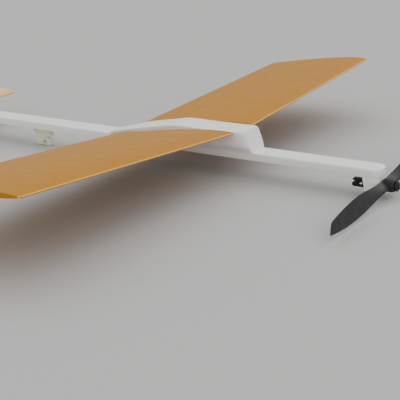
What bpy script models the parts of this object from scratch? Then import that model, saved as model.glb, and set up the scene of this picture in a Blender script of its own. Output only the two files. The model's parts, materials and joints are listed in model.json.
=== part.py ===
"""Rubber-powered free-flight model aeroplane, built as separate pieces.

Frame: metres, +X towards the nose, +Y to port, +Z up. The origin is under the middle of the
model's length, on the surface that the rear hook bracket stands on.
"""

import math

import bmesh
import bpy
from mathutils import Matrix, Vector

MM = 0.001
GAP = 0.3 * MM

# Boom: a flat moulded stick, open underneath between its cross ribs. Every other height is set
# out from its top.
HALF_LENGTH = 187.5 * MM
BOOM_HALF_WIDTH = 7.9 * MM
BOOM_TOP = 16.7 * MM
BOOM_BOTTOM = 11.7 * MM
BOOM_NOSE_X = 177.0 * MM
BOOM_NOSE_RADIUS = 5.0 * MM
BOOM_TAIL_RADIUS = 2.0 * MM
BOOM_RIM = 1.1 * MM
BOOM_WALL = 1.6 * MM
POCKET_LENGTH = 26.0 * MM
RIB_WIDTH = 2.0 * MM
SPIGOT_TOP = 14.6 * MM
FOOT_Z = BOOM_TOP + GAP

# Wing: a flat-bottomed section on a straight tapered panel, with dihedral.
WING_LE_X = 89.0 * MM
WING_LE_Z = BOOM_TOP + 9.9 * MM
ROOT_CHORD = 84.0 * MM
TIP_CHORD = 80.2 * MM
SEMI_SPAN = 204.5 * MM
WING_ROOT_Y = 11.8 * MM
TIP_FORWARD = 2.2 * MM
TIP_RISE = 14.5 * MM
WING_DROP = 10.0 / 84.0
WING_UPPER = 0.033
WING_LOWER = 0.006
EDGE_THICKNESS = 0.005
TIP_RADIUS = 3.0 * MM
TIP_INSET_SHARE = 0.4
TIP_THINNING = 0.1
ROOT_RIB_WIDTH = 1.0 * MM

# Wing saddle, on top of the boom.
SADDLE_FOOT_HALF_WIDTH = 7.8 * MM
SADDLE_WALL = 1.2 * MM
SADDLE_FLARE = 3.4 * MM
SADDLE_CROWN = 0.35 * MM
# x at the foot, x at the top, height above the boom and half width, from the rear end forwards.
SADDLE_STATIONS = (
    (-3.0 * MM, -1.5 * MM, 1.1 * MM, 8.4 * MM),
    (10.0 * MM, 10.0 * MM, 4.0 * MM, 10.4 * MM),
    (20.0 * MM, 20.0 * MM, 6.6 * MM, 11.2 * MM),
    (36.0 * MM, 36.0 * MM, 9.6 * MM, 11.3 * MM),
    (47.5 * MM, 47.5 * MM, 11.6 * MM, 11.3 * MM),
    (70.0 * MM, 70.0 * MM, 11.5 * MM, 11.3 * MM),
    (90.0 * MM, 88.0 * MM, 11.9 * MM, 11.0 * MM),
    (96.8 * MM, 92.4 * MM, 12.0 * MM, 10.3 * MM),
    (99.6 * MM, 94.4 * MM, 11.7 * MM, 9.2 * MM),
)

# Joiner rods that carry the wing panels.
FRONT_ROD_X = 66.3 * MM
FRONT_ROD_Z = BOOM_TOP + 8.3 * MM
FRONT_ROD_RADIUS = 0.75 * MM
FRONT_ROD_REACH = 46.0 * MM
REAR_ROD_X = 34.4 * MM
REAR_ROD_Z = BOOM_TOP + 4.15 * MM
REAR_ROD_RADIUS = 0.4 * MM
REAR_ROD_REACH = 26.0 * MM

# Propeller line, all turning about one axis along X.
SHAFT_Z = BOOM_TOP - 9.8 * MM
SHAFT_RADIUS = 0.8 * MM
SHAFT_REAR_X = 162.6 * MM
NOSE_BLOCK_REAR_X = 167.5 * MM
NOSE_BLOCK_FRONT_X = 176.4 * MM
NOSE_BLOCK_BOTTOM = SHAFT_Z - 3.5 * MM
NOSE_BLOCK_LEAN = 1.6 * MM
NOSE_SPIGOT_HALF_WIDTH = 4.5 * MM
BUSH_RADIUS = 1.8 * MM
WASHER_RADIUS = 3.0 * MM
WASHER_THICKNESS = 0.6 * MM
HUB_REAR_X = 177.8 * MM
HUB_FRONT_X = 184.3 * MM
HUB_RADIUS = 3.8 * MM
CLUTCH_REAR_X = 185.3 * MM
CLUTCH_FRONT_X = 186.3 * MM
CLUTCH_RADIUS = 3.1 * MM
DOG_DEPTH = 0.7 * MM
DOG_WIDTH = 1.0 * MM
COLLAR_RADIUS = 1.7 * MM
HOOK_REAR_X = 159.5 * MM
HOOK_HALF_WIDTH = 1.7 * MM
HOOK_NECK_RADIUS = 1.9 * MM

# Propeller blades: mirror images of each other, twisted to one pitch, with their tips cut on a
# slant. The port blade is set a little above the level of the starboard one.
BLADE_X = 180.6 * MM
PROP_PITCH = 110.0 * MM
PROP_ROOT_ANGLE = math.radians(58)
PROP_TIP_SLANT = 3.3 * MM
PORT_BLADE_RISE = math.radians(5)
# Radius from the shaft and blade chord there.
BLADE_STATIONS = (
    (2.0 * MM, 5.6 * MM),
    (6.0 * MM, 6.2 * MM),
    (10.0 * MM, 6.5 * MM),
    (15.0 * MM, 6.5 * MM),
    (22.0 * MM, 7.0 * MM),
    (32.0 * MM, 8.6 * MM),
    (42.0 * MM, 9.8 * MM),
    (52.0 * MM, 10.3 * MM),
    (62.0 * MM, 9.9 * MM),
    (70.0 * MM, 9.0 * MM),
    (76.0 * MM, 7.9 * MM),
    (80.0 * MM, 7.0 * MM),
)
BLADE_TIP = (83.2 * MM, 5.6 * MM)
BLADE_UPPER = 0.075
BLADE_LOWER = 0.025

# Rear hook bracket, under the boom.
BRACKET_REAR_X = -68.3 * MM
BRACKET_FRONT_X = -56.0 * MM
BRACKET_HALF_WIDTH = 2.4 * MM
BRACKET_TOP = BOOM_BOTTOM - GAP
GUSSET_BOTTOM = 6.0 * MM
GUSSET_REACH = 6.2 * MM
BRACKET_SPIGOT = (-66.0 * MM, -58.5 * MM)
BRACKET_SPIGOT_HALF_WIDTH = 1.8 * MM
SLIT_DEPTH = 3.2 * MM
SLIT_BOTTOM = 5.0 * MM
SLIT_HEIGHT = 1.0 * MM
PEG_X = -60.2 * MM
PEG_Z = 2.6 * MM
PEG_RADIUS = 0.75 * MM
PEG_REACH = 3.5 * MM

# Tail: mount plate, tailplane, clamp cap, fin and rudder tab, from the boom up.
TAIL_MOUNT_FRONT_X = -126.0 * MM
TAIL_MOUNT_REAR_X = -182.0 * MM
TAIL_MOUNT_TOP = BOOM_TOP + 1.8 * MM
TAILPLANE_LE_X = -127.4 * MM
TAILPLANE_SWEEP = 6.8 * MM
TAILPLANE_ROOT_CHORD = 52.0 * MM
TAILPLANE_TIP_CHORD = 46.0 * MM
TAILPLANE_HALF_SPAN = 57.5 * MM
TAILPLANE_THICKNESS = 1.8 * MM
TAIL_CAP_FRONT_X = -130.5 * MM
TAIL_CAP_REAR_X = -174.0 * MM
TAIL_CAP_BOTTOM = TAIL_MOUNT_TOP + TAILPLANE_THICKNESS + 0.8 * MM
TAIL_CAP_PLATE = 1.4 * MM
TAIL_CAP_HALF_WIDTH = 6.6 * MM
FIN_HALF_THICKNESS = 1.0 * MM
FIN_FRONT_X = -141.0 * MM
FIN_TOP_FRONT_X = -160.0 * MM
FIN_TOP = BOOM_TOP + 51.7 * MM
CHEEK_HEIGHT = 6.0 * MM
CHEEK_THICKNESS = 1.3 * MM
TAB_BOTTOM = BOOM_TOP + 16.7 * MM
TAB_TOP = BOOM_TOP + 40.7 * MM
TAB_HINGE_X = -176.4 * MM
TAB_BARREL_RADIUS = 1.2 * MM
TAB_PIN_RADIUS = 0.35 * MM
TAB_PIN_ROOM = 0.2 * MM

# Self-tapping screws, driven up from inside the boom.
SCREW_RADIUS = 0.9 * MM
SCREW_HEAD_RADIUS = 1.9 * MM
SCREW_HEAD_HEIGHT = 1.1 * MM
SADDLE_SCREW_FRONT = (80.0 * MM, BOOM_TOP + 6.7 * MM)
SADDLE_SCREW_REAR = (18.0 * MM, BOOM_TOP + 3.1 * MM)
POST_RADIUS = 2.4 * MM
TAIL_SCREW_X = -135.0 * MM
TAIL_SCREW_Y = 4.4 * MM

ROUND = 20


def clear_scene():
    for obj in list(bpy.data.objects):
        bpy.data.objects.remove(obj, do_unlink=True)


def make_collection(name, hidden=False):
    collection = bpy.data.collections.new(name)
    collection.hide_render = hidden
    bpy.context.scene.collection.children.link(collection)
    return collection


def make_material(name, colour, roughness, metallic=0.0):
    material = bpy.data.materials.new(name)
    material.use_nodes = True
    shader = material.node_tree.nodes["Principled BSDF"]
    shader.inputs["Base Color"].default_value = (*colour, 1.0)
    shader.inputs["Roughness"].default_value = roughness
    shader.inputs["Metallic"].default_value = metallic
    return material


def make_object(name, mesh, material, collection):
    obj = bpy.data.objects.new(name, mesh)
    collection.objects.link(obj)
    if material:
        mesh.materials.append(material)
    return obj


def finish_mesh(name, shape):
    """Turns a bmesh into a mesh whose faces point out and whose round sides are smooth."""
    bmesh.ops.recalc_face_normals(shape, faces=shape.faces)
    mesh = bpy.data.meshes.new(name)
    shape.to_mesh(mesh)
    shape.free()
    mesh.shade_smooth()
    mesh.set_sharp_from_angle(angle=math.radians(35))
    return mesh


def add_box(shape, low, high):
    """Adds a box between two corners, and returns its points."""
    low = Vector(low)
    high = Vector(high)
    place = Matrix.Translation((low + high) / 2) @ Matrix.Diagonal((*(high - low), 1.0))
    return bmesh.ops.create_cube(shape, size=1.0, matrix=place)["verts"]


def add_rod(shape, start, end, radius, end_radius=None, segments=ROUND):
    """Adds a closed cylinder or cone from start to end."""
    start = Vector(start)
    span = Vector(end) - start
    turn = span.to_track_quat("Z", "Y").to_matrix().to_4x4()
    bmesh.ops.create_cone(
        shape,
        cap_ends=True,
        segments=segments,
        radius1=radius,
        radius2=radius if end_radius is None else end_radius,
        depth=span.length,
        matrix=Matrix.Translation(start + span / 2) @ turn,
    )


def box_mesh(name, low, high, bevel=0.0, segments=2):
    shape = bmesh.new()
    add_box(shape, low, high)
    if bevel:
        bmesh.ops.bevel(
            shape, geom=list(shape.edges), offset=bevel, segments=segments, profile=0.5, affect="EDGES"
        )
    return finish_mesh(name, shape)


def rod_mesh(name, start, end, radius, end_radius=None, segments=ROUND):
    shape = bmesh.new()
    add_rod(shape, start, end, radius, end_radius, segments)
    return finish_mesh(name, shape)


def prism_mesh(name, outline, half_width, bevel=0.0):
    """Extrudes an outline of (x, z) points to both sides of the centre plane."""
    shape = bmesh.new()
    near = [shape.verts.new((x, -half_width, z)) for x, z in outline]
    face = shape.faces.new(near)
    moved = bmesh.ops.extrude_face_region(shape, geom=[face])["geom"]
    points = [item for item in moved if isinstance(item, bmesh.types.BMVert)]
    bmesh.ops.translate(shape, verts=points, vec=(0.0, 2.0 * half_width, 0.0))
    if bevel:
        bmesh.ops.recalc_face_normals(shape, faces=shape.faces)
        rims = [edge for edge in shape.edges if abs(edge.verts[0].co.y - edge.verts[1].co.y) < 1e-7]
        bmesh.ops.bevel(shape, geom=rims, offset=bevel, segments=2, profile=0.5, affect="EDGES")
    return finish_mesh(name, shape)


def loft_mesh(name, rings):
    """Joins rings with the same number of points, and closes both ends."""
    shape = bmesh.new()
    loops = [[shape.verts.new(point) for point in ring] for ring in rings]
    count = len(loops[0])
    for first, second in zip(loops, loops[1:]):
        for i in range(count):
            j = (i + 1) % count
            shape.faces.new((first[i], first[j], second[j], second[i]))
    shape.faces.new(loops[0])
    shape.faces.new(list(reversed(loops[-1])))
    return finish_mesh(name, shape)


def boolean(obj, mesh, operation, cutters):
    """Joins a helper solid to obj, or cuts it from obj, with a Boolean modifier."""
    helper = bpy.data.objects.new(mesh.name, mesh)
    helper.hide_render = True
    helper.display_type = "WIRE"
    cutters.objects.link(helper)
    modifier = obj.modifiers.new(operation.title(), "BOOLEAN")
    modifier.operation = operation
    modifier.solver = "EXACT"
    modifier.object = helper


def cut_box(obj, low, high, cutters):
    boolean(obj, box_mesh(obj.name + "_cut", low, high), "DIFFERENCE", cutters)


def drill(obj, start, end, radius, cutters, segments=16):
    boolean(obj, rod_mesh(obj.name + "_hole", start, end, radius, None, segments), "DIFFERENCE", cutters)


def airfoil(upper, lower, upper_points=12, lower_points=8):
    """Points (s, h) round a section, as shares of its chord, from the trailing edge over the top
    to the leading edge and back: the chord line runs from the nose to the tail at h = 0."""

    def bow(s):
        shape = 0.2969 * math.sqrt(s) - 0.1260 * s - 0.3516 * s**2 + 0.2843 * s**3 - 0.1015 * s**4
        return 10.0 * shape

    points = []
    for i in range(upper_points + 1):
        s = 0.5 + 0.5 * math.cos(math.pi * i / upper_points)
        points.append((s, upper * bow(s) + EDGE_THICKNESS * s))
    for i in range(1, lower_points + 1):
        s = 0.5 - 0.5 * math.cos(math.pi * i / lower_points)
        points.append((s, -lower * bow(s)))
    return points


def wing_ring(y, le_x, le_z, chord, drop, section, inset=0.0, thin=1.0):
    """One section of a wing at span y: inset draws both edges in, and thin flattens it."""
    slope = math.hypot(1.0, drop)
    middle = 0.5 * (max(h for _, h in section) + min(h for _, h in section))
    ring = []
    for s, h in section:
        along = inset + s * (chord - 2.0 * inset)
        rise = chord * (middle + (h - middle) * thin)
        ring.append((le_x - along - rise * drop / slope, y, le_z - along * drop + rise / slope))
    return ring


def wing_line(y):
    """Leading edge x, z and the chord of the wing at distance y from the centre."""
    share = y / SEMI_SPAN
    chord = ROOT_CHORD + share * (TIP_CHORD - ROOT_CHORD)
    return WING_LE_X + share * TIP_FORWARD, WING_LE_Z + share * TIP_RISE, chord


def wing_section(side, y, inset=0.0, thin=1.0):
    le_x, le_z, chord = wing_line(y)
    section = airfoil(WING_UPPER, WING_LOWER)
    return wing_ring(side * y, le_x, le_z, chord, WING_DROP, section, inset, thin)


def rod_end(side, x, z, reach):
    """A point on a joiner rod's line, which rises with the wing's dihedral."""
    return x, side * reach, z + reach * TIP_RISE / SEMI_SPAN


def make_wing(name, side, material, parts, cutters):
    inner = WING_ROOT_Y + ROOT_RIB_WIDTH + GAP
    rings = [wing_section(side, inner), wing_section(side, SEMI_SPAN - TIP_RADIUS)]
    for turn in (30, 55, 75, 90):
        angle = math.radians(turn)
        y = SEMI_SPAN - TIP_RADIUS * (1.0 - math.sin(angle))
        inset = TIP_RADIUS * (1.0 - math.cos(angle))
        thin = 1.0 - TIP_THINNING * (turn / 90) ** 4
        rings.append(wing_section(side, y, TIP_INSET_SHARE * inset, thin))
    wing = make_object(name, loft_mesh(name, rings), material, parts)
    for x, z, radius, reach in rod_lines():
        end = rod_end(side, x, z, reach + 1.0 * MM)
        drill(wing, rod_end(side, x, z, 5.0 * MM), end, radius + GAP, cutters)
    return wing


def make_root_rib(name, side, material, parts, cutters):
    """A thin moulded rib that closes the panel's root and locates the rods."""
    rings = [wing_section(side, WING_ROOT_Y), wing_section(side, WING_ROOT_Y + ROOT_RIB_WIDTH)]
    rib = make_object(name, loft_mesh(name, rings), material, parts)
    for x, z, radius, reach in rod_lines():
        drill(rib, rod_end(side, x, z, 5.0 * MM), rod_end(side, x, z, reach), radius + GAP, cutters)
    return rib


def rod_lines():
    return (
        (FRONT_ROD_X, FRONT_ROD_Z, FRONT_ROD_RADIUS, FRONT_ROD_REACH),
        (REAR_ROD_X, REAR_ROD_Z, REAR_ROD_RADIUS, REAR_ROD_REACH),
    )


def make_joiner_rod(name, x, z, radius, reach, material, parts):
    """A wire bent at its middle to the dihedral."""
    curve = bpy.data.curves.new(name, "CURVE")
    curve.dimensions = "3D"
    curve.bevel_depth = radius
    curve.bevel_resolution = 2
    curve.use_fill_caps = True
    spline = curve.splines.new("POLY")
    spline.points.add(2)
    ends = (rod_end(-1, x, z, reach), (x, 0.0, z), rod_end(1, x, z, reach))
    for point, place in zip(spline.points, ends):
        point.co = (*place, 1.0)
    curve.materials.append(material)
    rod = bpy.data.objects.new(name, curve)
    parts.objects.link(rod)


def pocket_spans():
    """Start and end x of each pocket under the boom, clear of the bracket and the nose block."""
    behind = (-HALF_LENGTH + 3.5 * MM, BRACKET_REAR_X - GUSSET_REACH - 3.5 * MM)
    ahead = (BRACKET_FRONT_X + 8.0 * MM, NOSE_BLOCK_REAR_X - 7.5 * MM)
    spans = []
    for first, last in (behind, ahead):
        count = max(1, round((last - first) / (POCKET_LENGTH + RIB_WIDTH)))
        length = (last - first - RIB_WIDTH * (count - 1)) / count
        for i in range(count):
            start = first + i * (length + RIB_WIDTH)
            spans.append((start, start + length))
    return spans


def make_boom(material, parts, cutters):
    name = "fuselage_boom"
    shape = bmesh.new()
    low = (-HALF_LENGTH, -BOOM_HALF_WIDTH, BOOM_BOTTOM)
    high = (BOOM_NOSE_X, BOOM_HALF_WIDTH, BOOM_TOP)
    add_box(shape, low, high)
    upright = [edge for edge in shape.edges if abs(edge.verts[0].co.z - edge.verts[1].co.z) > 1e-6]
    nose = [edge for edge in upright if edge.verts[0].co.x > 0.0]
    tail = [edge for edge in upright if edge.verts[0].co.x < 0.0]
    bmesh.ops.bevel(shape, geom=nose, offset=BOOM_NOSE_RADIUS, segments=6, profile=0.5, affect="EDGES")
    bmesh.ops.bevel(shape, geom=tail, offset=BOOM_TAIL_RADIUS, segments=3, profile=0.5, affect="EDGES")
    rims = [
        edge
        for edge in shape.edges
        if abs(edge.verts[0].co.z - edge.verts[1].co.z) < 1e-6 and edge.verts[0].co.z > BOOM_BOTTOM + MM
    ]
    bmesh.ops.bevel(shape, geom=rims, offset=BOOM_RIM, segments=3, profile=0.5, affect="EDGES")
    boom = make_object(name, finish_mesh(name, shape), material, parts)
    half = BOOM_HALF_WIDTH - BOOM_WALL
    pockets = bmesh.new()
    for start, end in pocket_spans():
        add_box(pockets, (start, -half, BOOM_BOTTOM - MM), (end, half, BOOM_TOP - BOOM_WALL))
    for start, end, spigot_half in spigots():
        reach = spigot_half + GAP
        low = (start - GAP, -reach, BOOM_BOTTOM - MM)
        add_box(pockets, low, (end + GAP, reach, SPIGOT_TOP + GAP))
    boolean(boom, finish_mesh(name + "_pockets", pockets), "DIFFERENCE", cutters)
    for x, y, _ in screw_places():
        drill(boom, (x, y, BOOM_TOP - 3.0 * MM), (x, y, BOOM_TOP + MM), SCREW_RADIUS + GAP, cutters)


def spigots():
    """Start x, end x and half width of the spigots of the nose block and the rear bracket."""
    return (
        (NOSE_BLOCK_REAR_X + 1.2 * MM, NOSE_BLOCK_FRONT_X - 2.4 * MM, NOSE_SPIGOT_HALF_WIDTH),
        (*BRACKET_SPIGOT, BRACKET_SPIGOT_HALF_WIDTH),
    )


def add_spigot(obj, place, bottom, cutters):
    start, end, half = place
    mesh = box_mesh(obj.name + "_spigot", (start, -half, bottom), (end, half, SPIGOT_TOP))
    boolean(obj, mesh, "UNION", cutters)


def make_nose_block(material, parts, cutters):
    """The block under the nose that carries the shaft, with a spigot up into the boom."""
    name = "nose_block"
    lean = NOSE_BLOCK_LEAN
    round_off = 1.6 * MM
    top = BOOM_BOTTOM - GAP
    outline = (
        (NOSE_BLOCK_REAR_X, top),
        (NOSE_BLOCK_REAR_X + lean, NOSE_BLOCK_BOTTOM + round_off),
        (NOSE_BLOCK_REAR_X + lean + round_off, NOSE_BLOCK_BOTTOM),
        (NOSE_BLOCK_FRONT_X - round_off, NOSE_BLOCK_BOTTOM),
        (NOSE_BLOCK_FRONT_X, NOSE_BLOCK_BOTTOM + round_off),
        (NOSE_BLOCK_FRONT_X, top),
    )
    block = make_object(name, prism_mesh(name, outline, BOOM_HALF_WIDTH - 0.3 * MM), material, parts)
    envelope = bmesh.new()
    low = (NOSE_BLOCK_REAR_X - MM, -BOOM_HALF_WIDTH, 0.0)
    add_box(envelope, low, (NOSE_BLOCK_FRONT_X, BOOM_HALF_WIDTH, BOOM_TOP))
    front = [edge for edge in envelope.edges if all(v.co.x > NOSE_BLOCK_REAR_X for v in edge.verts)]
    upright = [edge for edge in front if abs(edge.verts[0].co.z - edge.verts[1].co.z) > MM]
    radius = BOOM_NOSE_RADIUS
    bmesh.ops.bevel(envelope, geom=upright, offset=radius, segments=6, profile=0.5, affect="EDGES")
    boolean(block, finish_mesh(name + "_envelope", envelope), "INTERSECT", cutters)
    add_spigot(block, spigots()[0], top - 2.0 * MM, cutters)
    rear = (NOSE_BLOCK_REAR_X - 5.0 * MM, 0.0, SHAFT_Z)
    front = (NOSE_BLOCK_FRONT_X + 5.0 * MM, 0.0, SHAFT_Z)
    drill(block, rear, front, BUSH_RADIUS + GAP, cutters)


def make_shaft_bush(material, parts, cutters):
    name = "shaft_bush"
    rear = (NOSE_BLOCK_REAR_X + 1.0 * MM, 0.0, SHAFT_Z)
    front = (NOSE_BLOCK_FRONT_X + 0.1 * MM, 0.0, SHAFT_Z)
    bush = make_object(name, rod_mesh(name, rear, front, BUSH_RADIUS), material, parts)
    start = (rear[0] - MM, 0.0, SHAFT_Z)
    drill(bush, start, (front[0] + MM, 0.0, SHAFT_Z), SHAFT_RADIUS + GAP, cutters)


def make_propeller_shaft(material, parts):
    name = "propeller_shaft"
    mesh = rod_mesh(name, (SHAFT_REAR_X, 0.0, SHAFT_Z), (HALF_LENGTH, 0.0, SHAFT_Z), SHAFT_RADIUS)
    place_on_axis(make_object(name, mesh, material, parts), (SHAFT_REAR_X, 0.0, SHAFT_Z))


def place_on_axis(obj, origin):
    """Moves an object's origin to a point of its joint's axis without moving its shape."""
    origin = Vector(origin)
    obj.data.transform(Matrix.Translation(-origin))
    obj.location = origin


def make_motor_hook(material, parts, cutters):
    """The moulded hook on the shaft's rear end, which the rubber motor loops over."""
    name = "motor_hook"
    x = HOOK_REAR_X
    z = SHAFT_Z
    outline = (
        (x + 0.5 * MM, z + 1.7 * MM),
        (x + 0.1 * MM, z + 0.7 * MM),
        (x + 1.5 * MM, z + 0.4 * MM),
        (x + 1.5 * MM, z - 0.4 * MM),
        (x, z - 0.9 * MM),
        (x, z - 2.4 * MM),
        (x + 0.6 * MM, z - 3.0 * MM),
        (x + 7.4 * MM, z - 3.1 * MM),
        (x + 6.6 * MM, z + 1.9 * MM),
    )
    hook = make_object(name, prism_mesh(name, outline, HOOK_HALF_WIDTH), material, parts)
    neck_start = (x + 6.0 * MM, 0.0, SHAFT_Z)
    neck_end = (NOSE_BLOCK_REAR_X - GAP, 0.0, SHAFT_Z)
    boolean(hook, rod_mesh(name + "_neck", neck_start, neck_end, HOOK_NECK_RADIUS), "UNION", cutters)
    window = (
        (x + 3.0 * MM, z - 2.3 * MM),
        (x + 6.1 * MM, z - 2.3 * MM),
        (x + 6.1 * MM, z + 0.3 * MM),
    )
    boolean(hook, prism_mesh(name + "_window", window, 2.0 * HOOK_HALF_WIDTH), "DIFFERENCE", cutters)
    bore_start = (SHAFT_REAR_X - GAP, 0.0, SHAFT_Z)
    drill(hook, bore_start, (NOSE_BLOCK_REAR_X, 0.0, SHAFT_Z), SHAFT_RADIUS + GAP, cutters, ROUND)


def make_thrust_washer(material, parts, cutters):
    name = "thrust_washer"
    middle = (NOSE_BLOCK_FRONT_X + HUB_REAR_X) / 2.0
    rear = middle - WASHER_THICKNESS / 2.0
    front = middle + WASHER_THICKNESS / 2.0
    mesh = rod_mesh(name, (rear, 0.0, SHAFT_Z), (front, 0.0, SHAFT_Z), WASHER_RADIUS)
    washer = make_object(name, mesh, material, parts)
    start = (rear - MM, 0.0, SHAFT_Z)
    drill(washer, start, (front + MM, 0.0, SHAFT_Z), SHAFT_RADIUS + GAP, cutters, ROUND)


def blade_ring(side, radius, chord, slant=0.0):
    """One section of a blade, twisted to the propeller's pitch. The share of the chord that lies
    behind the blade's axis falls from root to tip."""
    angle = min(math.atan2(PROP_PITCH, 2.0 * math.pi * radius), PROP_ROOT_ANGLE)
    swell = max(1.0, 2.2 - radius / (8.0 * MM))
    behind = 0.69 - 0.003 * radius / MM
    ring = []
    for s, h in airfoil(BLADE_UPPER * swell, BLADE_LOWER * swell, 7, 4):
        forward = chord * (1.0 - s - behind)
        rise = chord * h
        x = BLADE_X + forward * math.sin(angle) + rise * math.cos(angle)
        z = SHAFT_Z - forward * math.cos(angle) + rise * math.sin(angle)
        ring.append((x, side * (radius + slant * (1.0 - s)), z))
    return ring


def make_blade(name, side):
    rings = [blade_ring(side, radius, chord) for radius, chord in BLADE_STATIONS]
    last_radius, last_chord = BLADE_STATIONS[-1]
    tip_radius, tip_chord = BLADE_TIP
    middle_radius = (last_radius + tip_radius) / 2
    middle_chord = (last_chord + tip_chord) / 2
    rings.append(blade_ring(side, middle_radius, middle_chord, PROP_TIP_SLANT / 2))
    rings.append(blade_ring(side, tip_radius, tip_chord, PROP_TIP_SLANT))
    return loft_mesh(name, rings)


def add_dogs(shape, rear_x, front_x, clearance):
    """Four ramped teeth about the shaft: upright on the driving side, sloping on the other."""
    reach = CLUTCH_RADIUS - 0.5 * MM + clearance
    for i in range(4):
        low = (rear_x, 1.5 * MM - clearance, -0.5 * DOG_WIDTH - clearance)
        points = add_box(shape, low, (front_x, reach, 0.5 * DOG_WIDTH + clearance))
        for point in points:
            if point.co.x < rear_x + 0.1 * MM and point.co.z > 0.0:
                point.co.z -= 0.45 * DOG_WIDTH
        turn = Matrix.Rotation(math.radians(90 * i + 45), 4, "X")
        bmesh.ops.transform(shape, matrix=Matrix.Translation((0.0, 0.0, SHAFT_Z)) @ turn, verts=points)


def make_propeller(material, parts, cutters):
    name = "propeller"
    rear = (HUB_REAR_X, 0.0, SHAFT_Z)
    front = (HUB_FRONT_X, 0.0, SHAFT_Z)
    hub = make_object(name, rod_mesh(name, rear, front, HUB_RADIUS, None, 32), material, parts)
    centre = Matrix.Translation((0.0, 0.0, SHAFT_Z))
    port_blade = make_blade(name + "_port_blade", 1)
    port_blade.transform(centre @ Matrix.Rotation(PORT_BLADE_RISE, 4, "X") @ centre.inverted())
    boolean(hub, port_blade, "UNION", cutters)
    boolean(hub, make_blade(name + "_starboard_blade", -1), "UNION", cutters)
    recess = bmesh.new()
    add_dogs(recess, HUB_FRONT_X - DOG_DEPTH - GAP, HUB_FRONT_X + MM, GAP)
    boolean(hub, finish_mesh(name + "_dogs", recess), "DIFFERENCE", cutters)
    start = (HUB_REAR_X - 5.0 * MM, 0.0, SHAFT_Z)
    drill(hub, start, (HUB_FRONT_X + 5.0 * MM, 0.0, SHAFT_Z), SHAFT_RADIUS + GAP, cutters, ROUND)


def make_freewheel_clutch(material, parts, cutters):
    """The toothed disc on the shaft. Its teeth stand just clear of the hub, as when the motor is
    unwound and the propeller freewheels."""
    name = "freewheel_clutch"
    rear = (CLUTCH_REAR_X, 0.0, SHAFT_Z)
    front = (CLUTCH_FRONT_X, 0.0, SHAFT_Z)
    clutch = make_object(name, rod_mesh(name, rear, front, CLUTCH_RADIUS, 2.5 * MM, 24), material, parts)
    dogs = bmesh.new()
    add_dogs(dogs, HUB_FRONT_X + GAP, CLUTCH_REAR_X + 0.4 * MM, 0.0)
    boolean(clutch, finish_mesh(name + "_dogs", dogs), "UNION", cutters)
    start = (HUB_FRONT_X - 5.0 * MM, 0.0, SHAFT_Z)
    drill(clutch, start, (CLUTCH_FRONT_X + 5.0 * MM, 0.0, SHAFT_Z), SHAFT_RADIUS + GAP, cutters, ROUND)


def make_shaft_collar(material, parts, cutters):
    name = "shaft_collar"
    rear = (CLUTCH_FRONT_X + GAP, 0.0, SHAFT_Z)
    front = (HALF_LENGTH - GAP, 0.0, SHAFT_Z)
    shape = rod_mesh(name, rear, front, COLLAR_RADIUS, 0.9 * COLLAR_RADIUS)
    collar = make_object(name, shape, material, parts)
    start = (rear[0] - 5.0 * MM, 0.0, SHAFT_Z)
    drill(collar, start, (front[0] + 5.0 * MM, 0.0, SHAFT_Z), SHAFT_RADIUS + GAP, cutters, ROUND)


def bracket_ring(z, rear_x, trim=0.0):
    """A level section of the rear bracket: square in front, round behind."""
    half = BRACKET_HALF_WIDTH - trim
    front = BRACKET_FRONT_X - trim
    ring = [(front, -half, z), (front, half, z)]
    for i in range(9):
        angle = math.pi * (0.5 + i / 8)
        ring.append((rear_x + BRACKET_HALF_WIDTH + half * math.cos(angle), half * math.sin(angle), z))
    return ring


def make_rear_bracket(material, parts, cutters):
    """The post under the boom that the rear loop of the rubber motor goes round."""
    name = "rear_hook_bracket"
    edge = 0.4 * MM
    rings = [bracket_ring(0.0, BRACKET_REAR_X, edge), bracket_ring(edge, BRACKET_REAR_X)]
    steps = 5
    for i in range(steps + 1):
        share = i / steps
        z = GUSSET_BOTTOM + share * (BRACKET_TOP - GUSSET_BOTTOM)
        rings.append(bracket_ring(z, BRACKET_REAR_X - GUSSET_REACH * share**1.3))
    bracket = make_object(name, loft_mesh(name, rings), material, parts)
    add_spigot(bracket, spigots()[1], BRACKET_TOP - 2.0 * MM, cutters)
    reach = BRACKET_HALF_WIDTH + MM
    slit_low = (BRACKET_FRONT_X - SLIT_DEPTH, -reach, SLIT_BOTTOM)
    cut_box(bracket, slit_low, (BRACKET_FRONT_X + MM, reach, SLIT_BOTTOM + SLIT_HEIGHT), cutters)
    drill(bracket, (PEG_X, -reach, PEG_Z), (PEG_X, reach, PEG_Z), PEG_RADIUS + GAP, cutters)


def make_rear_peg(material, parts):
    """The pin whose ends keep the rubber's loop from slipping down off the post."""
    name = "rear_motor_peg"
    mesh = rod_mesh(name, (PEG_X, -PEG_REACH, PEG_Z), (PEG_X, PEG_REACH, PEG_Z), PEG_RADIUS)
    make_object(name, mesh, material, parts)


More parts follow.
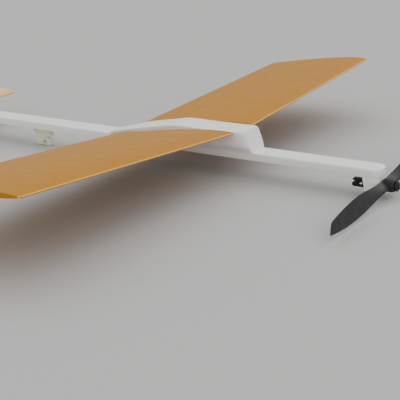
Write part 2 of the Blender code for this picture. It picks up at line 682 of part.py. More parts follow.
def saddle_ring(station, inset=0.0, shift=0.0, drop=0.0):
    """One section of the saddle: foot, flared skirt, upright sides and a lightly crowned top. An
    inset draws it in by a wall, shift moves it along, and drop carries the skirt on downwards."""
    foot_x, top_x, height, half = station
    half -= inset
    foot = SADDLE_FOOT_HALF_WIDTH - inset
    top = BOOM_TOP + height - inset
    lip = min(FOOT_Z + SADDLE_FLARE, top - 0.5 * MM)
    flare = (half - foot) / (lip - FOOT_Z)
    rim = min(0.8 * MM, 0.5 * (top - lip))
    half_profile = (
        (foot - drop * flare, FOOT_Z - drop),
        (half, lip),
        (half, top - rim),
        (half - 0.35 * MM, top - 0.3 * rim),
        (half - 1.0 * MM, top),
        (0.5 * half, top + 0.8 * SADDLE_CROWN),
    )
    profile = [*half_profile, (0.0, top + SADDLE_CROWN)]
    profile += [(-y, z) for y, z in reversed(half_profile)]
    ring = []
    for y, z in profile:
        lean = (top_x - foot_x) * (z - FOOT_Z) / (top - FOOT_Z)
        ring.append((foot_x + shift + lean, y, z))
    return ring


def make_saddle_shell(material, parts, cutters):
    name = "wing_saddle"
    rings = [saddle_ring(station) for station in SADDLE_STATIONS]
    shell = make_object(name, loft_mesh(name, rings), material, parts)
    inner = [saddle_ring(station, SADDLE_WALL, 0.0, 2.0 * MM) for station in SADDLE_STATIONS[1:-1]]
    inner.append(saddle_ring(SADDLE_STATIONS[-1], SADDLE_WALL, -SADDLE_WALL, 2.0 * MM))
    boolean(shell, loft_mesh(name + "_hollow", inner), "DIFFERENCE", cutters)
    for x, z, radius, _ in rod_lines():
        for side in (-1, 1):
            start = rod_end(side, x, z, 6.0 * MM)
            drill(shell, start, rod_end(side, x, z, 14.0 * MM), radius + GAP, cutters)


def make_saddle_base(material, parts, cutters):
    """The cradle inside the saddle that holds the rods and takes the screws."""
    name = "saddle_base"
    half = SADDLE_FOOT_HALF_WIDTH - SADDLE_WALL - 2.0 * GAP
    root = FOOT_Z + 0.5 * MM
    plate = box_mesh(name, (14.0 * MM, -half, FOOT_Z), (92.0 * MM, half, FOOT_Z + 1.4 * MM))
    base = make_object(name, plate, material, parts)
    for x, z, radius, _ in rod_lines():
        low = (x - 3.5 * MM, -half, root)
        boolean(base, box_mesh(name + "_cradle", low, (x + 3.5 * MM, half, z)), "UNION", cutters)
        room = radius + GAP
        floor = (x - room, -2.0 * half, z - room)
        cut_box(base, floor, (x + room, 2.0 * half, z + 5.0 * MM), cutters)
    for x, y, tip in screw_places()[:2]:
        post = rod_mesh(name + "_post", (x, y, root), (x, y, tip + MM), POST_RADIUS)
        boolean(base, post, "UNION", cutters)
    for x, y, tip in screw_places()[:2]:
        hole_top = (x, y, tip + 0.5 * MM)
        drill(base, (x, y, FOOT_Z - 2.0 * MM), hole_top, SCREW_RADIUS + GAP, cutters)


def screw_places():
    """x and y of each screw and the z of its tip: two in the saddle, two in the tail."""
    tail_tip = TAIL_CAP_BOTTOM + TAIL_CAP_PLATE + 1.2 * MM
    return (
        (SADDLE_SCREW_FRONT[0], 0.0, SADDLE_SCREW_FRONT[1]),
        (SADDLE_SCREW_REAR[0], 0.0, SADDLE_SCREW_REAR[1]),
        (TAIL_SCREW_X, -TAIL_SCREW_Y, tail_tip),
        (TAIL_SCREW_X, TAIL_SCREW_Y, tail_tip),
    )


def make_screw(name, place, material, parts):
    """A pan-headed screw: a turned profile whose head bears on the boom's web from below."""
    x, y, tip = place
    head_top = BOOM_TOP - BOOM_WALL - GAP
    head_bottom = head_top - SCREW_HEAD_HEIGHT
    profile = (
        (0.0, tip),
        (SCREW_RADIUS, tip - 1.0 * MM),
        (SCREW_RADIUS, head_top),
        (SCREW_HEAD_RADIUS, head_top),
        (SCREW_HEAD_RADIUS, head_bottom + 0.5 * MM),
        (1.2 * MM, head_bottom),
        (0.0, head_bottom),
    )
    shape = bmesh.new()
    points = [shape.verts.new((radius, 0.0, z)) for radius, z in profile]
    for pair in zip(points, points[1:]):
        shape.edges.new(pair)
    mesh = bpy.data.meshes.new(name)
    shape.to_mesh(mesh)
    shape.free()
    screw = make_object(name, mesh, material, parts)
    screw.location = (x, y, 0.0)
    turn = screw.modifiers.new("Turn", "SCREW")
    turn.steps = 14
    turn.render_steps = 14
    turn.use_merge_vertices = True
    turn.merge_threshold = 0.01 * MM


def make_tail_mount(material, parts, cutters):
    name = "tail_mount"
    low = (TAIL_MOUNT_REAR_X, -BOOM_HALF_WIDTH + MM, FOOT_Z)
    high = (TAIL_MOUNT_FRONT_X, BOOM_HALF_WIDTH - MM, TAIL_MOUNT_TOP)
    mount = make_object(name, box_mesh(name, low, high, 0.4 * MM), material, parts)
    for x, y, _ in screw_places()[2:]:
        drill(mount, (x, y, BOOM_TOP - MM), (x, y, TAIL_MOUNT_TOP + MM), SCREW_RADIUS + GAP, cutters)


def tailplane_ring(y, inset=0.0, thin=1.0):
    share = abs(y) / TAILPLANE_HALF_SPAN
    chord = TAILPLANE_ROOT_CHORD + share * (TAILPLANE_TIP_CHORD - TAILPLANE_ROOT_CHORD)
    le_x = TAILPLANE_LE_X - share * TAILPLANE_SWEEP
    le_z = TAIL_MOUNT_TOP + GAP
    section = airfoil(TAILPLANE_THICKNESS / TAILPLANE_ROOT_CHORD, 0.0)
    return wing_ring(y, le_x, le_z, chord, 0.0, section, inset, thin)


def make_tailplane(material, parts, cutters):
    name = "tailplane"
    corner = 5.0 * MM
    half_rings = [tailplane_ring(TAILPLANE_HALF_SPAN - corner)]
    for turn in (30, 60, 80, 90):
        angle = math.radians(turn)
        y = TAILPLANE_HALF_SPAN - corner * (1.0 - math.sin(angle))
        inset = 0.8 * corner * (1.0 - math.cos(angle))
        half_rings.append(tailplane_ring(y, inset, 1.0 - 0.3 * (turn / 90) ** 4))
    other_half = [[(x, -y, z) for x, y, z in ring] for ring in reversed(half_rings)]
    rings = other_half + [tailplane_ring(0.0)] + half_rings
    tailplane = make_object(name, loft_mesh(name, rings), material, parts)
    for x, y, _ in screw_places()[2:]:
        drill(tailplane, (x, y, BOOM_TOP), (x, y, TAIL_CAP_BOTTOM + MM), SCREW_RADIUS + GAP, cutters)


def make_tail_cap(material, parts, cutters):
    """The clamp over the tailplane, with two cheeks that grip the fin."""
    name = "tail_cap"
    floor = TAIL_CAP_BOTTOM
    plate_top = floor + TAIL_CAP_PLATE
    half = TAIL_CAP_HALF_WIDTH
    plate = box_mesh(name, (TAIL_CAP_REAR_X, -half, floor), (TAIL_CAP_FRONT_X, half, plate_top), 0.4 * MM)
    cap = make_object(name, plate, material, parts)
    boss_low = (TAIL_SCREW_X - 3.5 * MM, -half, floor + 0.6 * MM)
    boss_high = (TAIL_CAP_FRONT_X - 0.4 * MM, half, plate_top + 2.0 * MM)
    boolean(cap, box_mesh(name + "_boss", boss_low, boss_high, 0.5 * MM), "UNION", cutters)
    inner = FIN_HALF_THICKNESS + GAP
    for side in (-1, 1):
        edges = sorted((side * inner, side * (inner + CHEEK_THICKNESS)))
        cheek_low = (TAIL_CAP_REAR_X + 3.0 * MM, edges[0], floor + 0.6 * MM)
        cheek_high = (FIN_FRONT_X - 3.0 * MM, edges[1], plate_top + CHEEK_HEIGHT)
        boolean(cap, box_mesh(name + "_cheek", cheek_low, cheek_high), "UNION", cutters)
    for x, y, top in screw_places()[2:]:
        drill(cap, (x, y, floor - MM), (x, y, top + 0.4 * MM), SCREW_RADIUS + GAP, cutters)


def make_fin(material, parts, cutters):
    name = "fin"
    root_z = TAIL_CAP_BOTTOM + TAIL_CAP_PLATE + GAP
    notch_x = TAB_HINGE_X + TAB_BARREL_RADIUS + GAP
    rear = -HALF_LENGTH
    outline = (
        (FIN_FRONT_X, root_z),
        (FIN_FRONT_X - 2.0 * MM, root_z + 6.0 * MM),
        (FIN_TOP_FRONT_X + 1.0 * MM, FIN_TOP - 4.0 * MM),
        (FIN_TOP_FRONT_X - 1.6 * MM, FIN_TOP - 0.9 * MM),
        (FIN_TOP_FRONT_X - 4.6 * MM, FIN_TOP),
        (rear + 3.4 * MM, FIN_TOP),
        (rear + 0.9 * MM, FIN_TOP - 1.0 * MM),
        (rear, FIN_TOP - 3.4 * MM),
        (rear, TAB_TOP),
        (notch_x, TAB_TOP),
        (notch_x, TAB_BOTTOM),
        (rear, TAB_BOTTOM),
        (rear, root_z + 2.0 * MM),
        (rear + 1.5 * MM, root_z),
    )
    fin = make_object(name, prism_mesh(name, outline, FIN_HALF_THICKNESS, 0.3 * MM), material, parts)
    start = (TAB_HINGE_X, 0.0, TAB_BOTTOM - 2.6 * MM)
    end = (TAB_HINGE_X, 0.0, TAB_TOP + 2.6 * MM)
    drill(fin, start, end, TAB_PIN_RADIUS + TAB_PIN_ROOM, cutters, 12)


def make_rudder_tab(material, parts, cutters):
    """The trim tab behind the fin, turning on a wire through its barrel."""
    name = "rudder_tab"
    low_z = TAB_BOTTOM + GAP
    high_z = TAB_TOP - GAP
    barrel = rod_mesh(name, (TAB_HINGE_X, 0.0, low_z), (TAB_HINGE_X, 0.0, high_z), TAB_BARREL_RADIUS)
    tab = make_object(name, barrel, material, parts)
    low = (-HALF_LENGTH + GAP, -0.6 * MM, low_z)
    blade = box_mesh(name + "_blade", low, (TAB_HINGE_X - 0.2 * MM, 0.6 * MM, high_z))
    boolean(tab, blade, "UNION", cutters)
    start = (TAB_HINGE_X, 0.0, low_z - MM)
    end = (TAB_HINGE_X, 0.0, high_z + MM)
    drill(tab, start, end, TAB_PIN_RADIUS + TAB_PIN_ROOM, cutters, 12)


def make_tab_pin(material, parts):
    name = "rudder_hinge_pin"
    start = (TAB_HINGE_X, 0.0, TAB_BOTTOM - 2.2 * MM)
    end = (TAB_HINGE_X, 0.0, TAB_TOP + 2.2 * MM)
    make_object(name, rod_mesh(name, start, end, TAB_PIN_RADIUS, None, 12), material, parts)


def main():
    clear_scene()
    parts = make_collection("model_aeroplane")
    cutters = make_collection("cutters", hidden=True)
    white = make_material("white_plastic", (0.80, 0.80, 0.75), 0.35)
    orange = make_material("orange_skin", (0.55, 0.24, 0.05), 0.5)
    black = make_material("black_plastic", (0.035, 0.035, 0.037), 0.35)
    brass = make_material("brass", (0.75, 0.55, 0.25), 0.3, 1.0)
    steel = make_material("steel_wire", (0.62, 0.62, 0.63), 0.25, 1.0)

    make_boom(white, parts, cutters)
    make_nose_block(white, parts, cutters)
    make_shaft_bush(brass, parts, cutters)
    make_rear_bracket(white, parts, cutters)
    make_rear_peg(steel, parts)
    make_saddle_shell(white, parts, cutters)
    make_saddle_base(white, parts, cutters)
    screw_names = ("saddle_screw_front", "saddle_screw_rear", "tail_screw_starboard", "tail_screw_port")
    for name, place in zip(screw_names, screw_places()):
        make_screw(name, place, steel, parts)
    for word, line in zip(("front", "rear"), rod_lines()):
        make_joiner_rod(word + "_joiner_rod", *line, steel, parts)
    for word, side in (("port", 1), ("starboard", -1)):
        make_wing(word + "_wing", side, orange, parts, cutters)
        make_root_rib(word + "_root_rib", side, orange, parts, cutters)
    make_tail_mount(white, parts, cutters)
    make_tailplane(orange, parts, cutters)
    make_tail_cap(white, parts, cutters)
    make_fin(orange, parts, cutters)
    make_rudder_tab(orange, parts, cutters)
    make_tab_pin(steel, parts)
    make_propeller_shaft(steel, parts)
    make_motor_hook(black, parts, cutters)
    make_thrust_washer(steel, parts, cutters)
    make_propeller(black, parts, cutters)
    make_freewheel_clutch(black, parts, cutters)
    make_shaft_collar(black, parts, cutters)


main()
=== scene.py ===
"""Looks of the rubber-powered model aeroplane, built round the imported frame.

Every moulding, panel, rod and screw gets a finer mesh in its CAD node's place, with a procedural
material. Lengths are in metres, +X towards the nose, +Y to port and +Z up.
"""

import json
import math

import bmesh
import bpy
from mathutils import Matrix, Vector

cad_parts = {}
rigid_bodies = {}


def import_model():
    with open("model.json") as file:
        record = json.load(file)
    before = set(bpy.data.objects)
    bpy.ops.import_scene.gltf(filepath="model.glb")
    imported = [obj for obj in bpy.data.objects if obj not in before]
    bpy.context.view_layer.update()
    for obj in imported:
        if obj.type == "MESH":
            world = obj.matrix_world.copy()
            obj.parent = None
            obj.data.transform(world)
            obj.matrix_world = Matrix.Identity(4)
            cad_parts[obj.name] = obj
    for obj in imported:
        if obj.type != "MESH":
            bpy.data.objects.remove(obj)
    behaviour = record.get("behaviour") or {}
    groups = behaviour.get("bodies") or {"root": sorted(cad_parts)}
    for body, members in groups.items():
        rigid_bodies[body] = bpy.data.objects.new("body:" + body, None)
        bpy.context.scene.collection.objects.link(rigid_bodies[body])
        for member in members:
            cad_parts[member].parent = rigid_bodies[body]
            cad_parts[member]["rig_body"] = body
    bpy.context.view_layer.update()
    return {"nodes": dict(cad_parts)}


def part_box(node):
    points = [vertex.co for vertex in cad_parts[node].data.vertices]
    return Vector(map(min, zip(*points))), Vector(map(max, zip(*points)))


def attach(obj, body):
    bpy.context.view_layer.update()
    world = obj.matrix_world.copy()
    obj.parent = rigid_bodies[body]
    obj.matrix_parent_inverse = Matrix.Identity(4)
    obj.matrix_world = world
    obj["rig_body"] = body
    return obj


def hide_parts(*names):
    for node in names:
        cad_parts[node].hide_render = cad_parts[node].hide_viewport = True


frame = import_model()

MM = 0.001
TOUCH = 0.02 * MM
NODES = frame["nodes"]

# Camera.
CAMERA_PLACE = Vector((339.85, -489.29, 158.5)) * MM
CAMERA_AIM = Vector((-0.47394, 0.82669, -0.30324))
CAMERA_LENS = 85.0
CAMERA_SENSOR = 36.0

# Heights and ends that come from the frame.
BOOM_LOW, BOOM_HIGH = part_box("fuselage_boom")
BOOM_TOP = BOOM_HIGH.z
BOOM_BOTTOM = BOOM_LOW.z
BOOM_HALF_WIDTH = BOOM_HIGH.y
SHAFT_LOW, SHAFT_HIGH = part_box("propeller_shaft")
SHAFT_Z = (SHAFT_LOW.z + SHAFT_HIGH.z) / 2
SHAFT_RADIUS = (SHAFT_HIGH.z - SHAFT_LOW.z) / 2
SEMI_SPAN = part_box("port_wing")[1].y
TAIL_LOW, TAIL_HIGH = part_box("tailplane")
FIN_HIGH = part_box("fin")[1]

# Wing section and panel, as the CAD lays them out.
WING_LE_X = 89.0 * MM
WING_LE_Z = BOOM_TOP + 9.9 * MM
ROOT_CHORD = 84.0 * MM
TIP_CHORD = 80.2 * MM
TIP_FORWARD = 2.2 * MM
TIP_RISE = 14.5 * MM
WING_DROP = 10.0 / 84.0
WING_UPPER = 0.033
WING_LOWER = 0.006
EDGE_THICKNESS = 0.005
TIP_RADIUS = 3.0 * MM
TIP_INSET_SHARE = 0.4
TIP_THINNING = 0.1

# Tailplane and fin, as the CAD lays them out.
TAIL_ROOT_CHORD = 52.0 * MM
TAIL_TIP_CHORD = 46.0 * MM
TAIL_EDGE_BACK = 6.8 * MM
TAIL_THICKNESS = 1.8 * MM
TAIL_CORNER = 5.0 * MM
TAIL_INSET_SHARE = 0.8
TAIL_THINNING = 0.3
FIN_SHOULDER_X = -159.0 * MM
FIN_FRONT_ROUND_X = -163.2 * MM
FIN_FRONT_ROUND = 3.6 * MM
FIN_REAR_ROUND = 3.4 * MM

# Start x, end x, half width and top of the spigots that stand up into the boom.
NOSE_LOW, NOSE_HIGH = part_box("nose_block")
BRACKET_LOW, BRACKET_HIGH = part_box("rear_hook_bracket")
SPIGOTS = {
    "nose_block": (NOSE_LOW.x + 1.2 * MM, NOSE_HIGH.x - 2.4 * MM, 4.5 * MM, NOSE_HIGH.z),
    "rear_hook_bracket": (BRACKET_HIGH.x - 10.0 * MM, BRACKET_HIGH.x - 2.5 * MM, 1.8 * MM, BRACKET_HIGH.z),
}
SPIGOT_ROOM = 0.3 * MM
SCREW_NODES = ("saddle_screw_front", "saddle_screw_rear", "tail_screw_starboard", "tail_screw_port")
SCREW_HOLE = 1.1 * MM

# Boom: corners, rims and the walls round its pockets.
BOOM_NOSE_CORNER = 5.0 * MM
BOOM_TAIL_CORNER = 2.0 * MM
BOOM_UPPER_RIM = 1.1 * MM
BOOM_LOWER_RIM = 0.35 * MM
BOOM_WALL = 1.6 * MM

# Rear bracket.
BRACKET_HALF_WIDTH = 2.4 * MM
BRACKET_LENGTH = 12.3 * MM
GUSSET_BOTTOM = 6.0 * MM
SLIT_DEPTH = 3.2 * MM
SLIT_BOTTOM = 5.0 * MM
SLIT_TOP = 6.0 * MM

# Propeller line.
BORE = SHAFT_RADIUS + 0.15 * MM
HUB_REAR_X = 177.8 * MM
HUB_RADIUS = 3.8 * MM
BLADE_X = 180.6 * MM
PROP_PITCH = 110.0 * MM
PROP_ROOT_ANGLE = math.radians(58)
PROP_TIP_SLANT = 3.3 * MM
PORT_BLADE_RISE = math.radians(5)
# Radius from the shaft and blade chord there, in millimetres.
BLADE_STATIONS = (
    (2.0, 5.6),
    (6.0, 6.2),
    (10.0, 6.5),
    (15.0, 6.5),
    (22.0, 7.0),
    (32.0, 8.6),
    (42.0, 9.8),
    (52.0, 10.3),
    (62.0, 9.9),
    (70.0, 9.0),
    (76.0, 7.9),
    (80.0, 7.0),
    (83.2, 5.6),
)
BLADE_ROOT = 2.0
BLADE_SHOULDER = 80.0
BLADE_TIP_LENGTH = 3.2
BLADE_STEPS = 110
BLADE_TIP_STEPS = 5

# Light: position and colour of the dome's low and high ends, and its strength.
DOME_LOW = (0.02, (0.50, 0.475, 0.45, 1.0))
DOME_HIGH = (0.75, (1.0, 0.985, 0.965, 1.0))
DOME_STRENGTH = 0.92
COOL_LIGHT = (0.97, 0.985, 1.0)
# Suns: name, strength, colour, spread in degrees, and the way the light travels.
SUNS = (
    ("overhead", 0.30, COOL_LIGHT, 100.0, (0.12, -0.25, -0.9)),
    ("rear_corner", 0.46, COOL_LIGHT, 40.0, (0.50, -0.36, -0.78)),
    ("near_side", 0.40, (1.0, 0.985, 0.965), 80.0, (-0.45, 0.80, -0.30)),
    ("front", 0.38, (1.0, 0.99, 0.97), 50.0, (-0.90, 0.20, -0.40)),
    ("far_side", 0.55, COOL_LIGHT, 30.0, (-0.05, -0.80, -0.58)),
)


# ---------------------------------------------------------------- mesh helpers


def finish_mesh(shape, name="mesh", angle=35.0):
    """Turns a bmesh into a smooth mesh with sharp edges above an angle."""
    bmesh.ops.recalc_face_normals(shape, faces=shape.faces)
    mesh = bpy.data.meshes.new(name)
    shape.to_mesh(mesh)
    shape.free()
    shade(mesh, angle)
    return mesh


def shade(mesh, angle=35.0):
    mesh.shade_smooth()
    mesh.set_sharp_from_angle(angle=math.radians(angle))


def loft(rings, angle=35.0, front_bevel=0.0):
    """Joins rings of equally many points and closes both ends; front_bevel rounds the last end."""
    shape = bmesh.new()
    loops = [[shape.verts.new(point) for point in ring] for ring in rings]
    count = len(loops[0])
    for first, second in zip(loops, loops[1:]):
        for i in range(count):
            j = (i + 1) % count
            shape.faces.new((first[i], first[j], second[j], second[i]))
    shape.faces.new(loops[0])
    cap = shape.faces.new(list(reversed(loops[-1])))
    if front_bevel:
        rim = list(cap.edges)
        bmesh.ops.bevel(shape, geom=rim, offset=front_bevel, segments=5, profile=0.5, affect="EDGES")
    return finish_mesh(shape, angle=angle)


def rounded_box(low, high, radius=0.0, segments=3, keep=None):
    """A box with rounded edges; keep picks which edges are rounded."""
    shape = bmesh.new()
    low = Vector(low)
    high = Vector(high)
    place = Matrix.Translation((low + high) / 2) @ Matrix.Diagonal((*(high - low), 1.0))
    bmesh.ops.create_cube(shape, size=1.0, matrix=place)
    if radius:
        edges = [edge for edge in shape.edges if keep is None or keep(edge)]
        bmesh.ops.bevel(shape, geom=edges, offset=radius, segments=segments, profile=0.5, affect="EDGES")
    return finish_mesh(shape)


def prism(outline, half_width, bevel=0.0, segments=3):
    """Extrudes an (x, z) outline to both sides of the centre plane, with rounded rims."""
    shape = bmesh.new()
    face = shape.faces.new([shape.verts.new((x, -half_width, z)) for x, z in outline])
    moved = bmesh.ops.extrude_face_region(shape, geom=[face])["geom"]
    points = [item for item in moved if isinstance(item, bmesh.types.BMVert)]
    bmesh.ops.translate(shape, verts=points, vec=(0.0, 2.0 * half_width, 0.0))
    if bevel:
        bmesh.ops.recalc_face_normals(shape, faces=shape.faces)
        bmesh.ops.bevel(
            shape, geom=list(shape.edges), offset=bevel, segments=segments, profile=0.5, affect="EDGES"
        )
    return finish_mesh(shape)


def turned(profile, place, axis="X", segments=48, angle=35.0):
    """A turned piece: (along, radius) points revolved about a line through place."""
    shape = bmesh.new()
    rings = []
    for along, radius in profile:
        if radius < 1e-7:
            rings.append([shape.verts.new((along, 0.0, 0.0))])
            continue
        turn = [2.0 * math.pi * i / segments for i in range(segments)]
        rings.append([shape.verts.new((along, radius * math.cos(a), radius * math.sin(a))) for a in turn])
    closed = profile[0] == profile[-1]
    if closed:
        for vert in rings.pop():
            shape.verts.remove(vert)
        rings.append(rings[0])
    for first, second in zip(rings, rings[1:]):
        for i in range(segments):
            j = (i + 1) % segments
            corners = [first[i % len(first)], first[j % len(first)], second[j % len(second)]]
            corners.append(second[i % len(second)])
            shape.faces.new(list(dict.fromkeys(corners)))
    if axis == "Z":
        bmesh.ops.rotate(shape, verts=shape.verts, matrix=Matrix.Rotation(-math.pi / 2, 3, "Y"))
    if axis == "Y":
        bmesh.ops.rotate(shape, verts=shape.verts, matrix=Matrix.Rotation(math.pi / 2, 3, "Z"))
    bmesh.ops.translate(shape, verts=shape.verts, vec=place)
    return finish_mesh(shape, angle=angle)


def rod(start, end, radius, chamfer=0.0, segments=32):
    """A round bar from start to end, with chamfered ends."""
    start = Vector(start)
    span = Vector(end) - start
    length = span.length
    profile = [(0.0, 0.0), (0.0, radius - chamfer), (chamfer, radius)]
    profile += [(length - chamfer, radius), (length, radius - chamfer), (length, 0.0)]
    if not chamfer:
        profile = [(0.0, 0.0), (0.0, radius), (length, radius), (length, 0.0)]
    mesh = turned(profile, (0.0, 0.0, 0.0), segments=segments)
    turn = Vector((1.0, 0.0, 0.0)).rotation_difference(span).to_matrix().to_4x4()
    mesh.transform(Matrix.Translation(start) @ turn)
    return mesh


def combine(mesh, steps):
    """Applies (operation, mesh) Boolean steps to a mesh and returns the result."""
    scene = bpy.context.scene.collection.objects
    body = bpy.data.objects.new("work", mesh)
    scene.link(body)
    helpers = []
    for operation, other in steps:
        helper = bpy.data.objects.new("helper", other)
        scene.link(helper)
        helpers.append(helper)
        modifier = body.modifiers.new(operation, "BOOLEAN")
        modifier.operation = operation
        modifier.object = helper
        modifier.solver = "EXACT"
    graph = bpy.context.evaluated_depsgraph_get()
    result = bpy.data.meshes.new_from_object(body.evaluated_get(graph))
    for obj in (body, *helpers):
        bpy.data.objects.remove(obj, do_unlink=True)
    shade(result)
    return result


def piece(node, mesh, material, bevel=0.0):
    """Shows a mesh in place of a CAD node: it rides on the node's body."""
    obj = bpy.data.objects.new(node + "_detail", mesh)
    bpy.context.scene.collection.objects.link(obj)
    mesh.materials.clear()
    mesh.materials.append(material)
    if bevel:
        modifier = obj.modifiers.new("Edges", "BEVEL")
        modifier.width = bevel
        modifier.segments = 2
        modifier.limit_method = "ANGLE"
        modifier.angle_limit = math.radians(50)
        modifier.harden_normals = True
    weighted = obj.modifiers.new("Normals", "WEIGHTED_NORMAL")
    weighted.keep_sharp = True
    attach(obj, NODES[node]["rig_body"])
    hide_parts(node)
    return obj


# ---------------------------------------------------------------- materials


class Nodes:
    """Short calls for the nodes that the materials are made of."""

    def __init__(self, name, roughness, metallic=0.0, **sockets):
        self.material = bpy.data.materials.new(name)
        self.material.use_nodes = True
        self.tree = self.material.node_tree
        self.shader = self.tree.nodes["Principled BSDF"]
        self.shader.inputs["Roughness"].default_value = roughness
        self.shader.inputs["Metallic"].default_value = metallic
        for socket, value in sockets.items():
            self.shader.inputs[socket.replace("_", " ")].default_value = value
        self.place = self.tree.nodes.new("ShaderNodeTexCoord").outputs["Object"]

    def link(self, output, node, socket):
        self.tree.links.new(output, node.inputs[socket])

    def stretched(self, scale):
        """The place with each axis scaled, for streaks."""
        node = self.tree.nodes.new("ShaderNodeMapping")
        node.inputs["Scale"].default_value = scale
        self.link(self.place, node, "Vector")
        return node.outputs["Vector"]

    def noise(self, scale, detail=4.0, rough=0.55, vector=None):
        node = self.tree.nodes.new("ShaderNodeTexNoise")
        node.inputs["Scale"].default_value = scale
        node.inputs["Detail"].default_value = detail
        node.inputs["Roughness"].default_value = rough
        self.link(vector or self.place, node, "Vector")
        return node.outputs["Fac"]

    def axis(self, name):
        node = self.tree.nodes.new("ShaderNodeSeparateXYZ")
        self.link(self.place, node, 0)
        return node.outputs[name]

    def span(self, value, low, high, to_low=0.0, to_high=1.0):
        """Maps a value from one range to another, clamped."""
        node = self.tree.nodes.new("ShaderNodeMapRange")
        node.interpolation_type = "SMOOTHSTEP"
        self.link(value, node, "Value")
        for socket, number in (("From Min", low), ("From Max", high)):
            node.inputs[socket].default_value = number
        for socket, number in (("To Min", to_low), ("To Max", to_high)):
            node.inputs[socket].default_value = number
        return node.outputs["Result"]

    def math(self, operation, first, second):
        node = self.tree.nodes.new("ShaderNodeMath")
        node.operation = operation
        for index, value in enumerate((first, second)):
            if isinstance(value, float):
                node.inputs[index].default_value = value
            else:
                self.link(value, node, index)
        return node.outputs[0]

    def mix(self, factor, first, second):
        """Mixes two colours, each an output or a tuple."""
        node = self.tree.nodes.new("ShaderNodeMix")
        node.data_type = "RGBA"
        self.link(factor, node, 0)
        for socket, value in ((6, first), (7, second)):
            if isinstance(value, tuple):
                node.inputs[socket].default_value = (*value, 1.0)
            else:
                self.tree.links.new(value, node.inputs[socket])
        return node.outputs[2]

    def upward(self):
        """The upward share of the surface's direction."""
        geometry = self.tree.nodes.new("ShaderNodeNewGeometry")
        split = self.tree.nodes.new("ShaderNodeSeparateXYZ")
        self.link(geometry.outputs["Normal"], split, 0)
        return split.outputs["Z"]

    def edges(self, radius):
        """1 at the edges of a moulding and 0 on its faces."""
        bevel = self.tree.nodes.new("ShaderNodeBevel")
        bevel.samples = 4
        bevel.inputs["Radius"].default_value = radius
        geometry = self.tree.nodes.new("ShaderNodeNewGeometry")
        dot = self.tree.nodes.new("ShaderNodeVectorMath")
        dot.operation = "DOT_PRODUCT"
        self.link(bevel.outputs[0], dot, 0)
        self.link(geometry.outputs["Normal"], dot, 1)
        return self.span(dot.outputs["Value"], 0.995, 0.85)

    def bump(self, height, distance, strength=1.0, normal=None):
        node = self.tree.nodes.new("ShaderNodeBump")
        node.inputs["Distance"].default_value = distance
        node.inputs["Strength"].default_value = strength
        self.link(height, node, "Height")
        if normal:
            self.link(normal, node, "Normal")
        return node.outputs["Normal"]

    def set(self, socket, output):
        self.link(output, self.shader, socket)


def white_plastic(name, low_shade):
    """Milky moulded plastic: light passes into it, its edges carry a painted bluish-white highlight,
    and a painted yellow-green shade darkens it low down, scaled by its second argument."""
    m = Nodes(name, 0.30, Subsurface_Weight=0.12, Subsurface_Scale=0.0012, IOR=1.49)
    m.shader.inputs["Subsurface Radius"].default_value = (1.0, 0.95, 0.62)
    clouds = m.noise(55.0, 5.0)
    cloudy = m.mix(m.span(clouds, 0.3, 0.7), (0.955, 0.957, 0.957), (0.98, 0.982, 0.982))
    # Painted shade: darker and yellow-green towards the bottom of a moulding, standing in for light scattered
    # in its thin lower walls.
    painted_low_shade = m.math("MULTIPLY", m.span(m.axis("Z"), 0.0150, 0.0105), low_shade)
    low_shaded = m.mix(painted_low_shade, cloudy, (0.90, 0.90, 0.66))
    flow = m.noise(130.0, 3.0, 0.6, m.stretched((0.12, 1.0, 1.0)))
    streaked = m.mix(m.span(flow, 0.52, 0.72, 0.0, 0.2), low_shaded, (0.925, 0.93, 0.92))
    # Painted highlight: the edges are mixed towards a bluish white.
    m.set("Base Color", m.mix(m.math("MULTIPLY", m.edges(0.0009), 0.7), streaked, (0.985, 0.988, 1.0)))
    m.set("Roughness", m.span(m.noise(240.0, 6.0), 0.25, 0.8, 0.31, 0.39))
    grain = m.bump(m.noise(1900.0, 3.0), 0.00001, 0.4)
    m.set("Normal", m.bump(flow, 0.00002, 0.15, grain))
    return m.material


def orange_skin(name, pale, deep, edge_x, sweep, depth):
    """Satin dyed skin of a panel: deeper towards its leading edge, faintly streaked along the span.
    The leading edge carries a painted highlight on its upper side and a painted shade on its lower
    side. It stands at edge_x on the centre plane and moves by sweep for each metre of span."""
    m = Nodes(name, 0.42, IOR=1.45, Specular_IOR_Level=0.13)
    outward = m.math("ABSOLUTE", m.axis("Y"), 0.0)
    along = m.math("SUBTRACT", m.axis("X"), m.math("MULTIPLY", outward, sweep))
    forward = m.span(along, edge_x - depth, edge_x)
    base = m.mix(m.math("MULTIPLY", forward, 0.7), pale, deep)
    mottle = m.noise(38.0, 6.0, 0.6)
    darker = tuple(channel * 0.86 for channel in pale)
    blotched = m.mix(m.span(mottle, 0.35, 0.75, 0.0, 0.25), base, darker)
    grain = m.noise(300.0, 4.0, 0.65, m.stretched((1.0, 0.06, 1.0)))
    lighter = tuple(min(1.0, channel * 1.12) for channel in pale)
    streaked = m.mix(m.span(grain, 0.48, 0.75, 0.0, 0.18), blotched, lighter)
    upward = m.upward()
    # Painted highlight along the upper side of the leading edge and painted shade along its lower side,
    # chosen by which way the surface faces.
    at_rim = m.span(along, edge_x - 1.7 * MM, edge_x - 1.2 * MM)
    edge_rub_and_highlight = m.math("MULTIPLY", at_rim, m.span(upward, 0.97, 0.92))
    edge_highlighted = m.mix(m.math("MULTIPLY", edge_rub_and_highlight, 0.95), streaked, LEADING_EDGE_HIGHLIGHT)
    under_rim = m.span(along, edge_x - 0.9 * MM, edge_x - 0.5 * MM)
    painted_edge_shade = m.math("MULTIPLY", under_rim, m.span(upward, 0.82, 0.66))
    m.set("Base Color", m.mix(m.math("MULTIPLY", painted_edge_shade, 0.9), edge_highlighted, LEADING_EDGE_SHADE))
    m.set("Roughness", m.span(m.noise(120.0, 6.0), 0.25, 0.75, 0.36, 0.50))
    fine = m.bump(m.noise(2400.0, 2.0), 0.00002, 0.5)
    m.set("Normal", m.bump(grain, 0.00003, 0.3, fine))
    return m.material


